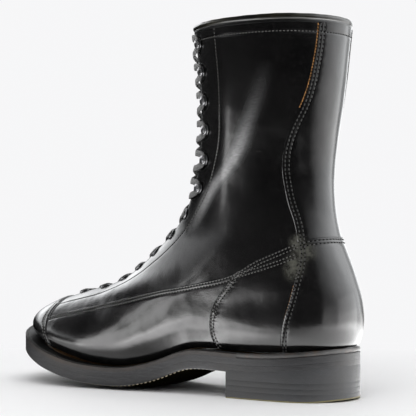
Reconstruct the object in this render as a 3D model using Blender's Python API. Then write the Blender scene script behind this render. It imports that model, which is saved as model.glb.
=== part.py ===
"""Lace-to-toe leather boot, left foot, with a stacked heel and a welted leather sole.

Frame: toe towards -Y, lateral (outer) side towards +X, +Z up.  The origin is
the middle of the heel tread on the ground.  Everything below is worked out in
millimetres and handed to Blender in metres.

The upper is one smooth surface addressed by (phi, rise).  phi runs round the
boot: 0 on the front ridge, pi at the back, lateral side 0..pi.  rise is the
distance up the front ridge from the feather line, where the upper meets the
welt.  A "line" or "polygon" of the upper is an array of (phi, rise) rows.
"""
import bpy
import numpy as np
from collections import namedtuple
from math import pi, sin, cos, radians
from mathutils.geometry import delaunay_2d_cdt

# ------------------------------------------------------------------ dimensions
COLLAR_Z = 271.0          # height of the collar binding
TOP_RISE = 280.4          # the panels end here, under the binding
CAP_RISE = 41.0           # the cap seam crosses the ridge here
THROAT_END_RISE = 52.0    # lower end of the throat
INNER_EDGE_RISE = 3.0     # lower edge of the stiffeners and the foot lining
LEATHER_T = 1.7           # outer leather
LINING_OUT, LINING_IN = -3.0, -4.0
TONGUE_OUT, TONGUE_IN = -5.0, -7.0
GAP = 0.2                 # half of the joint between neighbouring panels
PITCH = 13.0              # facet size on the upper
BINDING_R = 2.4

TONGUE_HINGE = (-88.0, 150.0)      # y, z of the tongue's fold line
TONGUE_FOLD_Z = 149.0              # ridge height between the tongue and its gusset
TONGUE_FOLD_GAP = 1.5              # from the fold to the edge of either sheet
GUSSET_RISE = 60.0                 # lower end of the gusset and of the lining's throat edge
ANKLE_AXIS = (-60.0, 105.0)        # y, z of the ankle flex axis

HOOK_ARC = 12.0           # speed hooks sit this far behind the throat edge
EYELET_ARC = 6.6
# heights on the ridge line, walking down the instep
HOOK_Z = (256.7, 236.2, 214.7, 193.4, 171.5, 150.6)
EYELET_Z = (132.0, 116.5, 103.0, 91.5, 82.5, 75.5, 70.5)
EYELET_HOLE_R = 2.9

HEEL_R = 38.5             # radius of the D-shaped heel back
HEEL_BREAST_Y = -42.5     # front face of the heel block
SOLE_STACK = 14.2         # welt + midsole + outsole, at the edge
WELT_T, MIDSOLE_T = 3.2, 4.8
SOLE_JOINT = 0.3          # between the layers of the sole
OUTSOLE_CROWN = 3.6       # the tread is this much higher at its edge than in its middle
TOP_LIFT_T, LIFT_T, LIFT_GAP = 5.4, 3.5, 0.3
WELT_END_Y, RAND_START_Y = -32.0, -31.4


# ------------------------------------------------------------------ curves
def arc_length(points):
    """Distance run along an open row of points, at each point."""
    steps = np.linalg.norm(np.diff(points, axis=0), axis=1)
    return np.concatenate([[0], np.cumsum(steps)])


def spline(knots, values):
    """Natural cubic spline through the knots, held flat outside them."""
    knots = np.asarray(knots, float)
    values = np.asarray(values, float)
    count = len(knots)
    extra = (1,) * (values.ndim - 1)
    widths = np.diff(knots)
    matrix = np.zeros((count, count))
    right = np.zeros((count,) + values.shape[1:])
    slopes = (values[1:] - values[:-1]) / widths.reshape((-1,) + extra)
    for i in range(1, count - 1):
        matrix[i, i - 1:i + 2] = (widths[i - 1], 2 * (widths[i - 1] + widths[i]), widths[i])
        right[i] = 6 * (slopes[i] - slopes[i - 1])
    matrix[0, 0] = matrix[-1, -1] = 1
    bend = np.linalg.solve(matrix, right)

    def evaluate(x):
        x = np.asarray(x, float)
        held = np.clip(x, knots[0], knots[-1])
        i = np.clip(np.searchsorted(knots, held, side="right") - 1, 0, count - 2)
        shape = x.shape + extra
        low = ((knots[i + 1] - held) / widths[i]).reshape(shape)
        high = ((held - knots[i]) / widths[i]).reshape(shape)
        square = (widths[i] ** 2).reshape(shape)
        bent = (low**3 - low) * bend[i] + (high**3 - high) * bend[i + 1]
        return low * values[i] + high * values[i + 1] + bent * square / 6

    return evaluate


def ring_spline(points):
    """Closed smooth curve through the points, as a function of the share 0..1 of the turn."""
    points = np.array(points, float)
    steps = np.linalg.norm(np.roll(points, -1, 0) - points, axis=1) ** 0.8
    knots = np.concatenate([[0], np.cumsum(steps)])
    turn = knots[-1]
    # three turns, so that the middle one closes smoothly
    curve = spline(np.concatenate([knots[:-1] - turn, knots[:-1], knots[:-1] + turn, [2 * turn]]),
                   np.concatenate([points, points, points, points[:1]]))
    return lambda share: curve(np.asarray(share) % 1.0 * turn)


def smooth_step(x, start, end):
    share = np.clip((x - start) / (end - start), 0, 1)
    return share * share * (3 - 2 * share)


def circle(radius, count, start=0.0):
    """Points (across, up) round a circle."""
    return [(radius * cos(angle), radius * sin(angle))
            for angle in np.arange(count) * 2 * pi / count + start]


# ------------------------------------------------------------------ the upper's outer surface
# height of the feather line, from toe (share 0) to heel (share 1)
FEATHER = spline(
    [0, .06, .13, .2, .28, .35, .41, .475, .535, .595, .65, .72, .83, .93, 1],
    [40.5, 36.2, 29.5, 24.2, 19.6, 17.7, 17.6, 20.6, 26.0, 32.2, 33.6, 33.0, 33.0, 35.2, 37.4])
FEATHER_FRONT_Y, FEATHER_BACK_Y = -255.5, 38.0
FEATHER_FRONT_Z = 40.5
FEATHER_DROP = 3.1        # the back end is this much lower than the front end
# girth loops, feather to collar: front y, z; back y, z; half widths at shares .12 .3 .5 .7 .88;
# roundness of the front and of the back; share of the feather's sag; share of the toe's
# inward swing; rise
LOOPS = (
    (FEATHER_FRONT_Y, FEATHER_FRONT_Z, FEATHER_BACK_Y, 37.4,
     37.0, 42.0, 31.0, 29.5, 29.3, 70.0, 67.6, 1.00, 1.0, 0.0),
    (-257.0, 48.0, 41.0, 47.0, 40.5, 46.5, 35.8, 33.0, 32.0, 73.0, 70.0, .93, 1.0, 9.1),
    (-241.5, 61.0, 41.6, 66.5, 30.5, 40.5, 37.3, 34.6, 31.7, 52.0, 68.5, .55, 1.0, 29.9),
    (-209.0, 71.2, 38.0, 81.0, 25.0, 36.0, 36.2, 34.8, 31.0, 33.0, 63.0, .30, .9, 54.9),
    (-170.0, 81.4, 33.0, 95.0, 22.5, 32.8, 35.5, 34.5, 29.2, 34.0, 56.0, .12, .7, 83.2),
    (-136.0, 103.0, 26.4, 111.0, 20.5, 29.8, 33.7, 33.2, 27.0, 31.5, 50.0, .04, .5, 111.8),
    (-108.0, 128.0, 21.0, 132.0, 20.0, 28.5, 32.3, 31.8, 24.5, 32.0, 43.5, 0.0, .2, 141.8),
    (-91.0, 160.0, 19.2, 162.0, 21.5, 30.0, 33.2, 31.8, 24.5, 38.0, 42.0, 0.0, 0.0, 174.8),
    (-85.0, 205.0, 24.0, 205.0, 25.0, 35.5, 39.3, 37.5, 29.0, 42.0, 46.0, 0.0, 0.0, 219.2),
    (-91.0, COLLAR_Z, 32.3, COLLAR_Z - 1,
     28.5, 41.0, 45.8, 44.5, 33.5, 46.9, 51.0, 0.0, 0.0, 285.7),
)
SHARES = np.array([0, .12, .3, .5, .7, .88, 1.0])     # shares of the way from front to back
SWING = spline(SHARES, [-8, -3, 1, 4, 1.5, .2, 0])
RATIO_BASIS = spline(SHARES, np.eye(7))
ELLIPSE_WIDTHS = 2 * np.sqrt(SHARES[1:-1] * (1 - SHARES[1:-1]))
# columns: front y, z, back y, z, sag, swing, then seven ratios to a plain ellipse, front to back
LOOP = spline(
    [loop[-1] for loop in LOOPS],
    [[*ends, sag, swing, front_round, *(np.array(half_widths) / ELLIPSE_WIDTHS), back_round]
     for *ends_and_widths, front_round, back_round, sag, swing, _ in LOOPS
     for ends, half_widths in [(ends_and_widths[:4], ends_and_widths[4:])]])


def feather_sag(share):
    """Height of the feather line above the straight line between its ends."""
    return FEATHER(share) - (FEATHER_FRONT_Z - FEATHER_DROP * share)


def surface(phi, rise):
    """Point on the outer leather."""
    phi, rise = np.broadcast_arrays(np.asarray(phi, float), np.asarray(rise, float))
    loop = LOOP(rise)
    share = (1 - np.cos(phi)) / 2
    front_y, front_z, back_y, back_z, sag, swing = [loop[..., i] for i in range(6)]
    half_width = np.sum(RATIO_BASIS(share) * loop[..., 6:], axis=-1)
    return np.stack([SWING(share) * swing + half_width * np.sin(phi),
                     front_y + (back_y - front_y) * share,
                     front_z + (back_z - front_z) * share + sag * feather_sag(share)], -1)


def surface_frame(phi, rise):
    """Point, the surface derivatives along phi and rise, and the outward normal."""
    phi_step = 1e-3
    rise_step = phi_step * 20
    point = surface(phi, rise)
    along = (surface(phi + phi_step, rise) - surface(phi - phi_step, rise)) / (2 * phi_step)
    upward = (surface(phi, rise + rise_step) - surface(phi, rise - rise_step)) / (2 * rise_step)
    normal = np.cross(along, upward)
    return point, along, upward, normal / np.linalg.norm(normal, axis=-1, keepdims=True)


def flattening(phi, rise):
    """Matrix that turns a small (phi, rise) step into millimetres in the tangent plane."""
    _, along, upward, _ = surface_frame(phi, rise)
    first = along / np.linalg.norm(along)
    second = upward - first * (upward @ first)
    second /= np.linalg.norm(second)
    return np.array([[along @ first, upward @ first], [along @ second, upward @ second]])


def from_side_view(side_points):
    """Line on the lateral side through points (y, z) given in side view."""
    rises = np.linspace(0, 290, 1161)
    loop = LOOP(rises)
    line = []
    for y, z in side_points:
        share = np.clip((y - loop[:, 0]) / (loop[:, 2] - loop[:, 0]), 0, 1)
        above = (loop[:, 1] + (loop[:, 3] - loop[:, 1]) * share
                 + loop[:, 4] * feather_sag(share) - z)
        k = int(np.argmax(above > 0)) if (above > 0).any() else len(rises) - 1
        k = max(k, 1)
        part = np.clip(-above[k - 1] / (above[k] - above[k - 1]), 0, 1)
        rise = rises[k - 1] + part * (rises[k] - rises[k - 1])
        met = share[k - 1] + part * (share[k] - share[k - 1])
        line.append((np.arccos(1 - 2 * met), rise))
    return np.array(line)


def seam(points):
    """Smooth line on the lateral side through a few side-view points (y, z)."""
    points = np.array(points, float)
    run = arc_length(points)
    return from_side_view(spline(run, points)(np.linspace(0, run[-1], 160)))


def arc_phi(rise, arc):
    """phi at which the girth loop has run arc millimetres from the front ridge."""
    phis = np.linspace(0, 1.6, 161)
    run = arc_length(surface(phis, np.full_like(phis, rise)))
    return float(np.interp(arc, run, phis))


def ridge_rise(z):
    """Rise of the ridge point at height z."""
    rises = np.linspace(0, 290, 2901)
    return float(np.interp(z, LOOP(rises)[:, 1], rises))


# distance from the ridge to the throat edge
THROAT_ARC = spline([THROAT_END_RISE, 60, 83, 112, 142, 175, 219, 286],
                    [0.0, 5.0, 6.6, 9.0, 13.0, 17.0, 20.0, 22.0])


def throat_phi(rise, behind=0.0):
    """phi of the point this far behind the throat edge."""
    return arc_phi(rise, float(THROAT_ARC(rise)) + behind)


def throat(behind=0.0, start=THROAT_END_RISE, end=TOP_RISE, count=90):
    return np.array([(throat_phi(rise, behind), rise) for rise in np.linspace(start, end, count)])


# ------------------------------------------------------------------ lines and polygons
def resample(line, pitch):
    """Even samples along a line, measured on the surface."""
    run = arc_length(surface(line[:, 0], line[:, 1]))
    count = max(int(round(run[-1] / pitch)), 1)
    marks = np.linspace(0, run[-1], count + 1)
    return np.stack([np.interp(marks, run, line[:, 0]), np.interp(marks, run, line[:, 1])], 1)


def nearest(line, spot):
    """Index of the point of the line that is nearest to a (phi, rise) spot."""
    away = surface(line[:, 0], line[:, 1]) - surface(*spot)
    return int(np.argmin(np.linalg.norm(away, axis=1)))


def cut_top(line):
    """The part below the collar of a line that comes down from above it."""
    below = line[:, 1] < TOP_RISE
    kept = line[below]
    over = line[~below][-1]
    share = (TOP_RISE - kept[0, 1]) / (over[1] - kept[0, 1])
    return np.concatenate([[kept[0] + (over - kept[0]) * share], kept])


def row(rise, phi_start, phi_end, count=120):
    """Level line from one phi to another."""
    return np.stack([np.linspace(phi_start, phi_end, count), np.full(count, float(rise))], 1)


def other_side(line):
    """The medial twin of a line, in the same order."""
    return np.column_stack([-line[:, 0], line[:, 1]])


def mirror(line):
    """The medial twin of a line or polygon, reversed to keep its turning sense."""
    return other_side(line)[::-1]


def across(line):
    """The reversed medial twin of a line on the heel side, as phi beyond pi."""
    line = np.array(line, float)[::-1].copy()
    line[:, 0] = 2 * pi - line[:, 0]
    return line


def signed_area(poly):
    """Twice the area of a plane polygon, positive when it runs anticlockwise."""
    return np.sum(poly[:, 0] * np.roll(poly[:, 1], -1) - np.roll(poly[:, 0], -1) * poly[:, 1])


def polygon(*lines, pitch=PITCH):
    """Joins lines end to end into one closed polygon, dropping repeated ends."""
    def apart(one, two):
        return np.linalg.norm(surface(*one) - surface(*two))

    points = []
    for line in lines:
        for spot in resample(np.asarray(line, float), pitch):
            if not points or apart(spot, points[-1]) > 0.5:
                points.append(spot)
    if apart(points[0], points[-1]) < 0.5:
        points.pop()
    points = np.array(points)
    return points if signed_area(points) > 0 else points[::-1]


def inset(poly, gap):
    """Moves each side of the polygon inwards by gap, measured on the surface."""
    moved = []
    for i, spot in enumerate(poly):
        flatten = flattening(*spot)
        before = -(flatten @ (poly[i - 1] - spot))
        after = flatten @ (poly[(i + 1) % len(poly)] - spot)
        before /= np.linalg.norm(before)
        after /= np.linalg.norm(after)
        normal_before = np.array([-before[1], before[0]])
        normal_after = np.array([-after[1], after[0]])
        inward = normal_before + normal_after
        if np.linalg.norm(inward) < 0.25:      # the outline doubles back in a spike
            inward = -(after - before)
        inward /= np.linalg.norm(inward)
        shift = inward * min(gap / max(inward @ normal_before, 0.2), 3 * gap)
        moved.append(spot + np.linalg.solve(flatten, shift))
    return np.array(moved)


def inside(poly, points):
    """Which of the plane points lie inside the polygon."""
    x, y = points[:, 0], points[:, 1]
    result = np.zeros(len(points), bool)
    for (x0, y0), (x1, y1) in zip(poly, np.roll(poly, -1, 0)):
        spans = (y0 > y) != (y1 > y)
        if y1 != y0:
            result ^= spans & (x < (x1 - x0) * (y - y0) / (y1 - y0) + x0)
    return result


def disc(phi, rise, radius, count):
    """A circle on the surface, as a polygon."""
    flatten = flattening(phi, rise)
    return np.array([[phi, rise] + np.linalg.solve(flatten, spoke)
                     for spoke in circle(radius, count)])


# ------------------------------------------------------------------ seams of the lateral side
# all given in side view as (y, z)
JUNCTION = (9.6, 111.5)    # the long seam, counter, backstay and back seam meet here
LONG = seam([              # from the cap seam back to the junction
    (-219.5, 51.5), (-206, 54.6), (-171, 61.6), (-142, 67.3), (-101.5, 75.7), (-83, 78.8),
    (-58, 83.4), (-36, 89.6), (-22.5, 97.2), (-4.2, 105.3), JUNCTION])
FOXING = seam([            # from the long seam down to the feather line
    (-36, 89.6), (-44, 79.5), (-53, 68.2), (-57.3, 57.3), (-58, 47), (-56.4, 38.5), (-54, 33.7)])
COUNTER = seam([           # from the junction down to the feather line
    JUNCTION, (11.2, 104.8), (11.6, 92.8), (10.1, 82.4), (5.7, 65), (2.8, 54.5), (0.8, 44.3),
    (-0.8, 33.6)])
BACKSTAY = seam([          # from the collar down to the junction
    (25.6, 270), (23.6, 252), (21.4, 238.4), (18.1, 222.5), (12.8, 206.5), (8.7, 197.7),
    (4.1, 187.3), (-.2, 173.7), (-1.5, 163), (-.4, 150), (2.3, 137), (6.2, 125.5), JUNCTION])
FACING = seam([            # from the collar down to the cap seam
    (-51.5, 270), (-50.5, 255), (-49.3, 228), (-49.7, 204), (-53.8, 180), (-59.5, 166),
    (-65.4, 153), (-75.8, 138), (-88.5, 122.5), (-103, 109), (-121, 96.5), (-139, 86.2),
    (-157, 77.6), (-178, 70.3), (-201, 65.4), (-224, 60.8)])
CAP_SIDE = seam([(-224, 60.8), (-222.2, 55.2), (-217.4, 46.1), (-212.2, 37.8), (-207.5, 26.5)])
BACK_HALF = seam([JUNCTION, (15.4, 113.4), (21.5, 114.6), (24.9, 115.0)])


def cap_seam():
    """Cap seam from ridge to feather: an arch over the ridge, then the drawn side part."""
    CAP_SIDE[-1, 1] = 0
    share = np.linspace(0, 1, 12)
    arch = np.column_stack([CAP_SIDE[0, 0] * share,
                            CAP_RISE + (CAP_SIDE[0, 1] - CAP_RISE) * share ** 2])
    return np.concatenate([arch[:-1], CAP_SIDE])


# the seams are joined exactly where they meet
CAP = cap_seam()
CAP_AT_LONG = nearest(CAP, LONG[0])
LONG[0] = CAP[CAP_AT_LONG]
CAP_AT_FACING = nearest(CAP, FACING[-1])
FACING[-1] = CAP[CAP_AT_FACING]
LONG_AT_FOXING = nearest(LONG, FOXING[0])
FOXING[0] = LONG[LONG_AT_FOXING]
COUNTER[0] = BACKSTAY[-1] = BACK_HALF[0] = LONG[-1]
FOXING[-1, 1] = COUNTER[-1, 1] = 0.0
BACK_HALF[-1, 0] = pi
BACK_SEAM = np.concatenate([BACK_HALF, across(BACK_HALF)[1:]])     # junction to junction
BACKSTAY_EDGE = cut_top(BACKSTAY)
FACING_EDGE = cut_top(FACING)


def stations(ridge_heights, behind):
    """(phi, rise) of the lateral fittings, behind the throat edge."""
    return [(throat_phi(rise, behind), rise) for rise in map(ridge_rise, ridge_heights)]


EYELETS = stations(EYELET_Z, EYELET_ARC)
HOOKS = stations(HOOK_Z, HOOK_ARC)


# ------------------------------------------------------------------ scene, frames, materials
Part = namedtuple("Part", "empty pivot")     # pivot in mm; the part's pieces have their origin there


def clear_scene():
    for obj in list(bpy.data.objects):
        bpy.data.objects.remove(obj, do_unlink=True)


def part_frame(name, y, z):
    """An empty that carries one moving part of the boot."""
    empty = bpy.data.objects.new(name, None)
    empty.location = (0, y / 1000, z / 1000)
    bpy.context.scene.collection.objects.link(empty)
    return Part(empty, np.array([0.0, y, z]))


def material(name, colour, roughness, metallic=0.0):
    mat = bpy.data.materials.new(name)
    mat.use_nodes = True
    shader = mat.node_tree.nodes["Principled BSDF"]
    shader.inputs["Base Color"].default_value = (*colour, 1)
    shader.inputs["Roughness"].default_value = roughness
    shader.inputs["Metallic"].default_value = metallic
    mat.diffuse_color = (*colour, 1)
    return mat


clear_scene()
FOOT = part_frame("foot_frame", 0.0, 0.0)
SHAFT = part_frame("shaft_frame", *ANKLE_AXIS)
TONGUE = part_frame("tongue_frame", *TONGUE_HINGE)

LEATHER = material("black_leather", colour=(0.014, 0.014, 0.015), roughness=0.28)
TAN = material("tan_lining_leather", colour=(0.46, 0.31, 0.19), roughness=0.6)
BOARD = material("leatherboard", colour=(0.36, 0.24, 0.14), roughness=0.8)
BINDING = material("binding", colour=(0.05, 0.05, 0.052), roughness=0.3)
ENAMEL = material("black_enamel", colour=(0.02, 0.02, 0.022), roughness=0.25, metallic=0.6)
COTTON = material("lace_cotton", colour=(0.012, 0.012, 0.013), roughness=0.7)
SOLE_EDGE = material("sole_edge", colour=(0.075, 0.077, 0.082), roughness=0.45)
WELT = material("welt_leather", colour=(0.03, 0.027, 0.025), roughness=0.5)
CORK = material("cork", colour=(0.35, 0.22, 0.12), roughness=0.9)
STEEL = material("shank_steel", colour=(0.45, 0.45, 0.47), roughness=0.35, metallic=1.0)
TOP_LIFT = material("top_lift_leather", colour=(0.10, 0.085, 0.05), roughness=0.6)


# ------------------------------------------------------------------ solids
PLANE_SCALE = np.array([60.0, 1.0])     # makes the (phi, rise) plane roughly even


def add(name, verts, faces, mat, part):
    """A named, smooth-shaded object from millimetre points, hung on a part."""
    mesh = bpy.data.meshes.new(name)
    mesh.from_pydata(((np.asarray(verts, float) - part.pivot) / 1000).tolist(), [],
                     [tuple(int(i) for i in face) for face in faces])
    mesh.validate()
    obj = bpy.data.objects.new(name, mesh)
    bpy.context.scene.collection.objects.link(obj)
    mesh.materials.append(mat)
    mesh.shade_smooth()
    mesh.set_sharp_from_angle(angle=radians(40))
    obj.parent = part.empty


def delaunay(points, edges):
    """Constrained triangulation: plane points and triangles."""
    result = delaunay_2d_cdt(points, edges, [], 0, 1e-7)
    return (np.array([tuple(point) for point in result[0]]),
            np.array([face for face in result[2] if len(face) == 3]))


def turn_up(points, tris):
    """The triangles turned anticlockwise, and twice their areas before turning."""
    one, two, three = (points[tris[:, k]] for k in range(3))
    area = ((two[:, 0] - one[:, 0]) * (three[:, 1] - one[:, 1])
            - (two[:, 1] - one[:, 1]) * (three[:, 0] - one[:, 0]))
    return np.where((area < 0)[:, None], tris[:, ::-1], tris), area


def triangulate(poly, holes, inner):
    """Triangles of a (phi, rise) polygon with holes, using the given inner points."""
    points, edges = [], []
    for loop in [poly, *holes]:
        first = len(points)
        points += [tuple(spot) for spot in loop * PLANE_SCALE]
        edges += [(first + i, first + (i + 1) % len(loop)) for i in range(len(loop))]
    points += [tuple(spot) for spot in inner * PLANE_SCALE]
    flat, tris = delaunay(points, edges)
    flat = flat / PLANE_SCALE
    centres = flat[tris].mean(axis=1)
    keep = inside(poly, centres)
    for hole in holes:
        keep &= ~inside(hole, centres)
    tris, area = turn_up(flat, tris[keep])
    tris = tris[np.abs(area) > 1e-9]
    used = np.unique(tris)
    index = np.full(len(flat), -1)
    index[used] = np.arange(len(used))
    return flat[used], index[tris]


def slab(top, bottom, tris):
    """Closed mesh between two copies of a triangulated sheet."""
    count = len(top)
    faces = [tuple(tri) for tri in tris]
    faces += [tuple(count + i for i in tri[::-1]) for tri in tris]
    sides = {(tri[i], tri[(i + 1) % 3]) for tri in tris for i in range(3)}
    faces += [(end, start, count + start, count + end)
              for start, end in sides if (end, start) not in sides]
    return np.concatenate([top, bottom]), faces


def grid_inside(poly, holes, pitch):
    """Interior points of a panel, evenly spread over the surface in staggered rows."""
    edge = np.concatenate([surface(loop[:, 0], loop[:, 1]) for loop in [poly, *holes]])
    phis = np.linspace(poly[:, 0].min(), poly[:, 0].max(), 400)
    low, high = poly[:, 1].min(), poly[:, 1].max()
    row_count = int(round((high - low) / (pitch * 0.9)))
    rows = []
    for k, rise in enumerate(np.linspace(low, high, row_count + 2)[1:-1]):
        run = arc_length(surface(phis, np.full(400, rise)))
        count = max(int(run[-1] / pitch), 1)
        marks = (np.arange(count) + (0.25 if k % 2 else 0.75)) * run[-1] / count
        rows.append(np.stack([np.interp(marks, run, phis), np.full(count, rise)], 1))
    spots = np.concatenate(rows)
    spots = spots[inside(poly, spots)]
    for hole in holes:
        spots = spots[~inside(hole, spots)]
    if len(spots):
        clearance = np.array([np.min(np.linalg.norm(edge - point, axis=1))
                              for point in surface(spots[:, 0], spots[:, 1])])
        spots = spots[clearance > 0.62 * pitch]
    return spots


def values_at(value, *places):
    """A number, or a function of the places, as one value per place."""
    return value(*places) if callable(value) else np.full(len(places[0]), float(value))


def panel(name, poly, mat, part, outer=0.0, inner=-LEATHER_T, holes=(), pitch=PITCH, gap=GAP):
    """A region of the upper's surface given a thickness, between two offsets along its normal."""
    if gap:
        poly = inset(poly, gap)
    spots, tris = triangulate(poly, holes, grid_inside(poly, holes, pitch))
    point, _, _, normal = surface_frame(spots[:, 0], spots[:, 1])
    verts, faces = slab(point + normal * values_at(outer, spots)[:, None],
                        point + normal * values_at(inner, spots)[:, None], tris)
    add(name, verts, faces, mat, part)


def panel_pair(name, poly, part):
    """A lateral outer panel and its medial twin."""
    panel(name + "_lateral", poly, LEATHER, part)
    panel(name + "_medial", mirror(poly), LEATHER, part)


# cross lines shared by all layers of the sole, so that their creases agree
CREASE_Y = np.concatenate([np.arange(-262, -122, 12.0), np.arange(-120, -50, 7.5),
                           np.arange(-52, 40, 13.0)])


def plate(name, plan, z_low, z_high, mat, pitch):
    """A layer of the sole: an outline in plan, creased along the shared cross lines."""
    plan = np.asarray(plan, float)
    if signed_area(plan) < 0:
        plan = plan[::-1]
    ring, crossings = [], {}
    for start, end in zip(plan, np.roll(plan, -1, 0)):
        ring.append(tuple(start))
        met = [y for y in CREASE_Y if (start[1] - y) * (end[1] - y) < 0]
        for y in sorted(met, reverse=bool(start[1] > end[1])):
            x = start[0] + (end[0] - start[0]) * (y - start[1]) / (end[1] - start[1])
            crossings.setdefault(float(y), []).append((float(x), len(ring)))
            ring.append((x, y))
    points = list(ring)
    edges = [(i, (i + 1) % len(ring)) for i in range(len(ring))]
    for y, met in crossings.items():
        met.sort()
        for (x0, first), (x1, last) in zip(met[::2], met[1::2]):
            count = max(int((x1 - x0) / pitch), 1)
            chain = [first]
            for x in np.linspace(x0, x1, count + 1)[1:-1]:
                chain.append(len(points))
                points.append((float(x), y))
            chain.append(last)
            edges += list(zip(chain[:-1], chain[1:]))
    flat, tris = delaunay(points, edges)
    tris = tris[inside(np.array(ring), flat[tris].mean(axis=1))]
    tris, _ = turn_up(flat, tris)
    top, bottom = (np.column_stack([flat, values_at(height, flat[:, 0], flat[:, 1])])
                   for height in (z_high, z_low))
    verts, faces = slab(top, bottom, tris)
    add(name, verts, faces, mat, FOOT)


def outward(verts, faces):
    """Turns every face round when the closed mesh is inside out."""
    volume = 0.0
    for face in faces:
        for k in range(1, len(face) - 1):
            cross = np.cross(verts[face[k]], verts[face[k + 1]])
            volume += np.dot(verts[face[0]], cross)
    return faces if volume > 0 else [tuple(reversed(face)) for face in faces]


def sweep(name, path, axes, section, mat, part, closed=False):
    """Sweeps a section, or one section per point, along path; axes holds its two directions."""
    section = np.asarray(section, float)
    count, sides = len(path), section.shape[-2]
    sections = np.broadcast_to(section, (count, sides, 2))
    verts = np.array([point + first * one + second * two
                      for point, (first, second), outline_2d in zip(path, axes, sections)
                      for one, two in outline_2d])
    faces = []
    for i in range(count if closed else count - 1):
        j = (i + 1) % count
        for k in range(sides):
            following = (k + 1) % sides
            faces.append((i * sides + k, i * sides + following,
                          j * sides + following, j * sides + k))
    if not closed:
        faces.append(tuple(reversed(range(sides))))
        faces.append(tuple((count - 1) * sides + k for k in range(sides)))
    add(name, verts, outward(verts, faces), mat, part)


# ------------------------------------------------------------------ outer panels
def toe_cap():
    # the stretches that meet the facing, the quarter and the vamp
    stretches = [CAP[:CAP_AT_FACING + 1], CAP[CAP_AT_FACING:CAP_AT_LONG + 1], CAP[CAP_AT_LONG:]]
    poly = polygon(*[line[::-1] for line in stretches[::-1]],
                   *[other_side(line) for line in stretches],
                   row(0, -CAP[-1, 0], CAP[-1, 0]))
    panel("toe_cap", poly, LEATHER, FOOT, pitch=9.0)


def vamps():
    panel_pair("vamp", polygon(CAP[CAP_AT_LONG:], row(0, CAP[-1, 0], FOXING[-1, 0]),
                               FOXING[::-1], LONG[:LONG_AT_FOXING + 1][::-1]), FOOT)


def foxings():
    panel_pair("foxing", polygon(FOXING, row(0, FOXING[-1, 0], COUNTER[-1, 0]),
                                 COUNTER[::-1], LONG[LONG_AT_FOXING:][::-1]), FOOT)


def heel_counter_cover():
    poly = polygon(COUNTER, row(0, COUNTER[-1, 0], 2 * pi - COUNTER[-1, 0], 200),
                   across(COUNTER), BACK_SEAM[::-1])
    panel("heel_counter_cover", poly, LEATHER, FOOT)


def backstay():
    top_phi = BACKSTAY_EDGE[0, 0]
    poly = polygon(BACK_SEAM, across(BACKSTAY_EDGE), row(TOP_RISE, 2 * pi - top_phi, top_phi),
                   BACKSTAY_EDGE)
    panel("backstay", poly, LEATHER, SHAFT)


def quarters():
    top = row(TOP_RISE, BACKSTAY_EDGE[0, 0], FACING_EDGE[0, 0])
    panel_pair("quarter", polygon(LONG[:LONG_AT_FOXING + 1], LONG[LONG_AT_FOXING:],
                                  BACKSTAY_EDGE[::-1], top, FACING_EDGE,
                                  CAP[CAP_AT_FACING:CAP_AT_LONG + 1]), SHAFT)


def facings():
    """The eyelet facings, along the throat and down the ridge to the cap seam."""
    edge = throat()
    poly = polygon(FACING_EDGE[::-1], row(TOP_RISE, FACING_EDGE[0, 0], edge[-1, 0]), edge[::-1],
                   np.array([[0, THROAT_END_RISE], [0, CAP_RISE]]), CAP[:CAP_AT_FACING + 1],
                   pitch=10.0)
    for side, tag, outline_poly in ((1, "lateral", poly), (-1, "medial", mirror(poly))):
        holes = [disc(side * phi, rise, EYELET_HOLE_R, 7) for phi, rise in EYELETS]
        panel("facing_" + tag, outline_poly, LEATHER, SHAFT, holes=holes, pitch=12.0)


# ------------------------------------------------------------------ stiffeners and linings
def toe_stiffener():
    """The cap's outline drawn in, behind the cap."""
    phi_scale, rise_scale = .90, .84
    share = np.linspace(0, 1, 60)
    knots = np.linspace(0, 1, len(CAP))
    edge = np.column_stack([
        np.interp(share, knots, CAP[:, 0]) * phi_scale,
        np.interp(share, knots, CAP[:, 1]) * rise_scale + INNER_EDGE_RISE])
    end_phi = CAP[-1, 0] * phi_scale
    poly = polygon(edge[::-1], other_side(edge), row(INNER_EDGE_RISE, -end_phi, end_phi))
    panel("toe_stiffener", poly, BOARD, FOOT, outer=-3.0, inner=-4.4, pitch=11.0, gap=0)


def counter_stiffener():
    """Board round the back of the heel."""
    top = seam([(6.0, 60), (9.5, 74), (14.5, 84), (21, 91), (32.2, 93.5)])
    top[-1, 0] = pi
    side = np.concatenate([[[float(top[0, 0]) - .06, INNER_EDGE_RISE]], top])[::-1]
    poly = polygon(row(INNER_EDGE_RISE, side[-1, 0], 2 * pi - side[-1, 0], 200),
                   across(side), side)
    panel("counter_stiffener", poly, BOARD, FOOT, outer=-2.8, inner=-4.2, pitch=10.5, gap=0)


def lining_depth(offset):
    """Offset of a lining face, lying 3.3 deeper behind the heel stiffener."""
    def depth(spots):
        share = (1 - np.cos(spots[:, 0])) / 2
        behind = smooth_step(share, .74, .80) * (1 - smooth_step(spots[:, 1], 93, 112))
        return offset - 3.3 * behind
    return depth


def foot_lining():
    top = seam([(-114, 108.5), (-85, 110.5), (-60, 112.0), (-20, 109.5), (22, 107.0)])
    top[0, 0] = max(top[0, 0], throat_phi(float(top[0, 1]), 2))
    top[-1, 0] = pi
    throat_edge = throat(1.5, GUSSET_RISE, float(top[0, 1]), 50)
    front = CAP[CAP_AT_FACING:].copy()
    front[:, 0] += 0.06
    front = front[front[:, 1] > INNER_EDGE_RISE]
    front = np.concatenate([throat_edge[:1], front, [[front[-1, 0] + .01, INNER_EDGE_RISE]]])
    half = np.concatenate([top[::-1], throat_edge[::-1], front])
    poly = polygon(half, row(INNER_EDGE_RISE, half[-1, 0], 2 * pi - half[-1, 0], 300),
                   across(half), pitch=17.0)
    panel("foot_lining", poly, TAN, FOOT, outer=lining_depth(LINING_OUT),
          inner=lining_depth(LINING_IN), pitch=17.0, gap=0)


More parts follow.
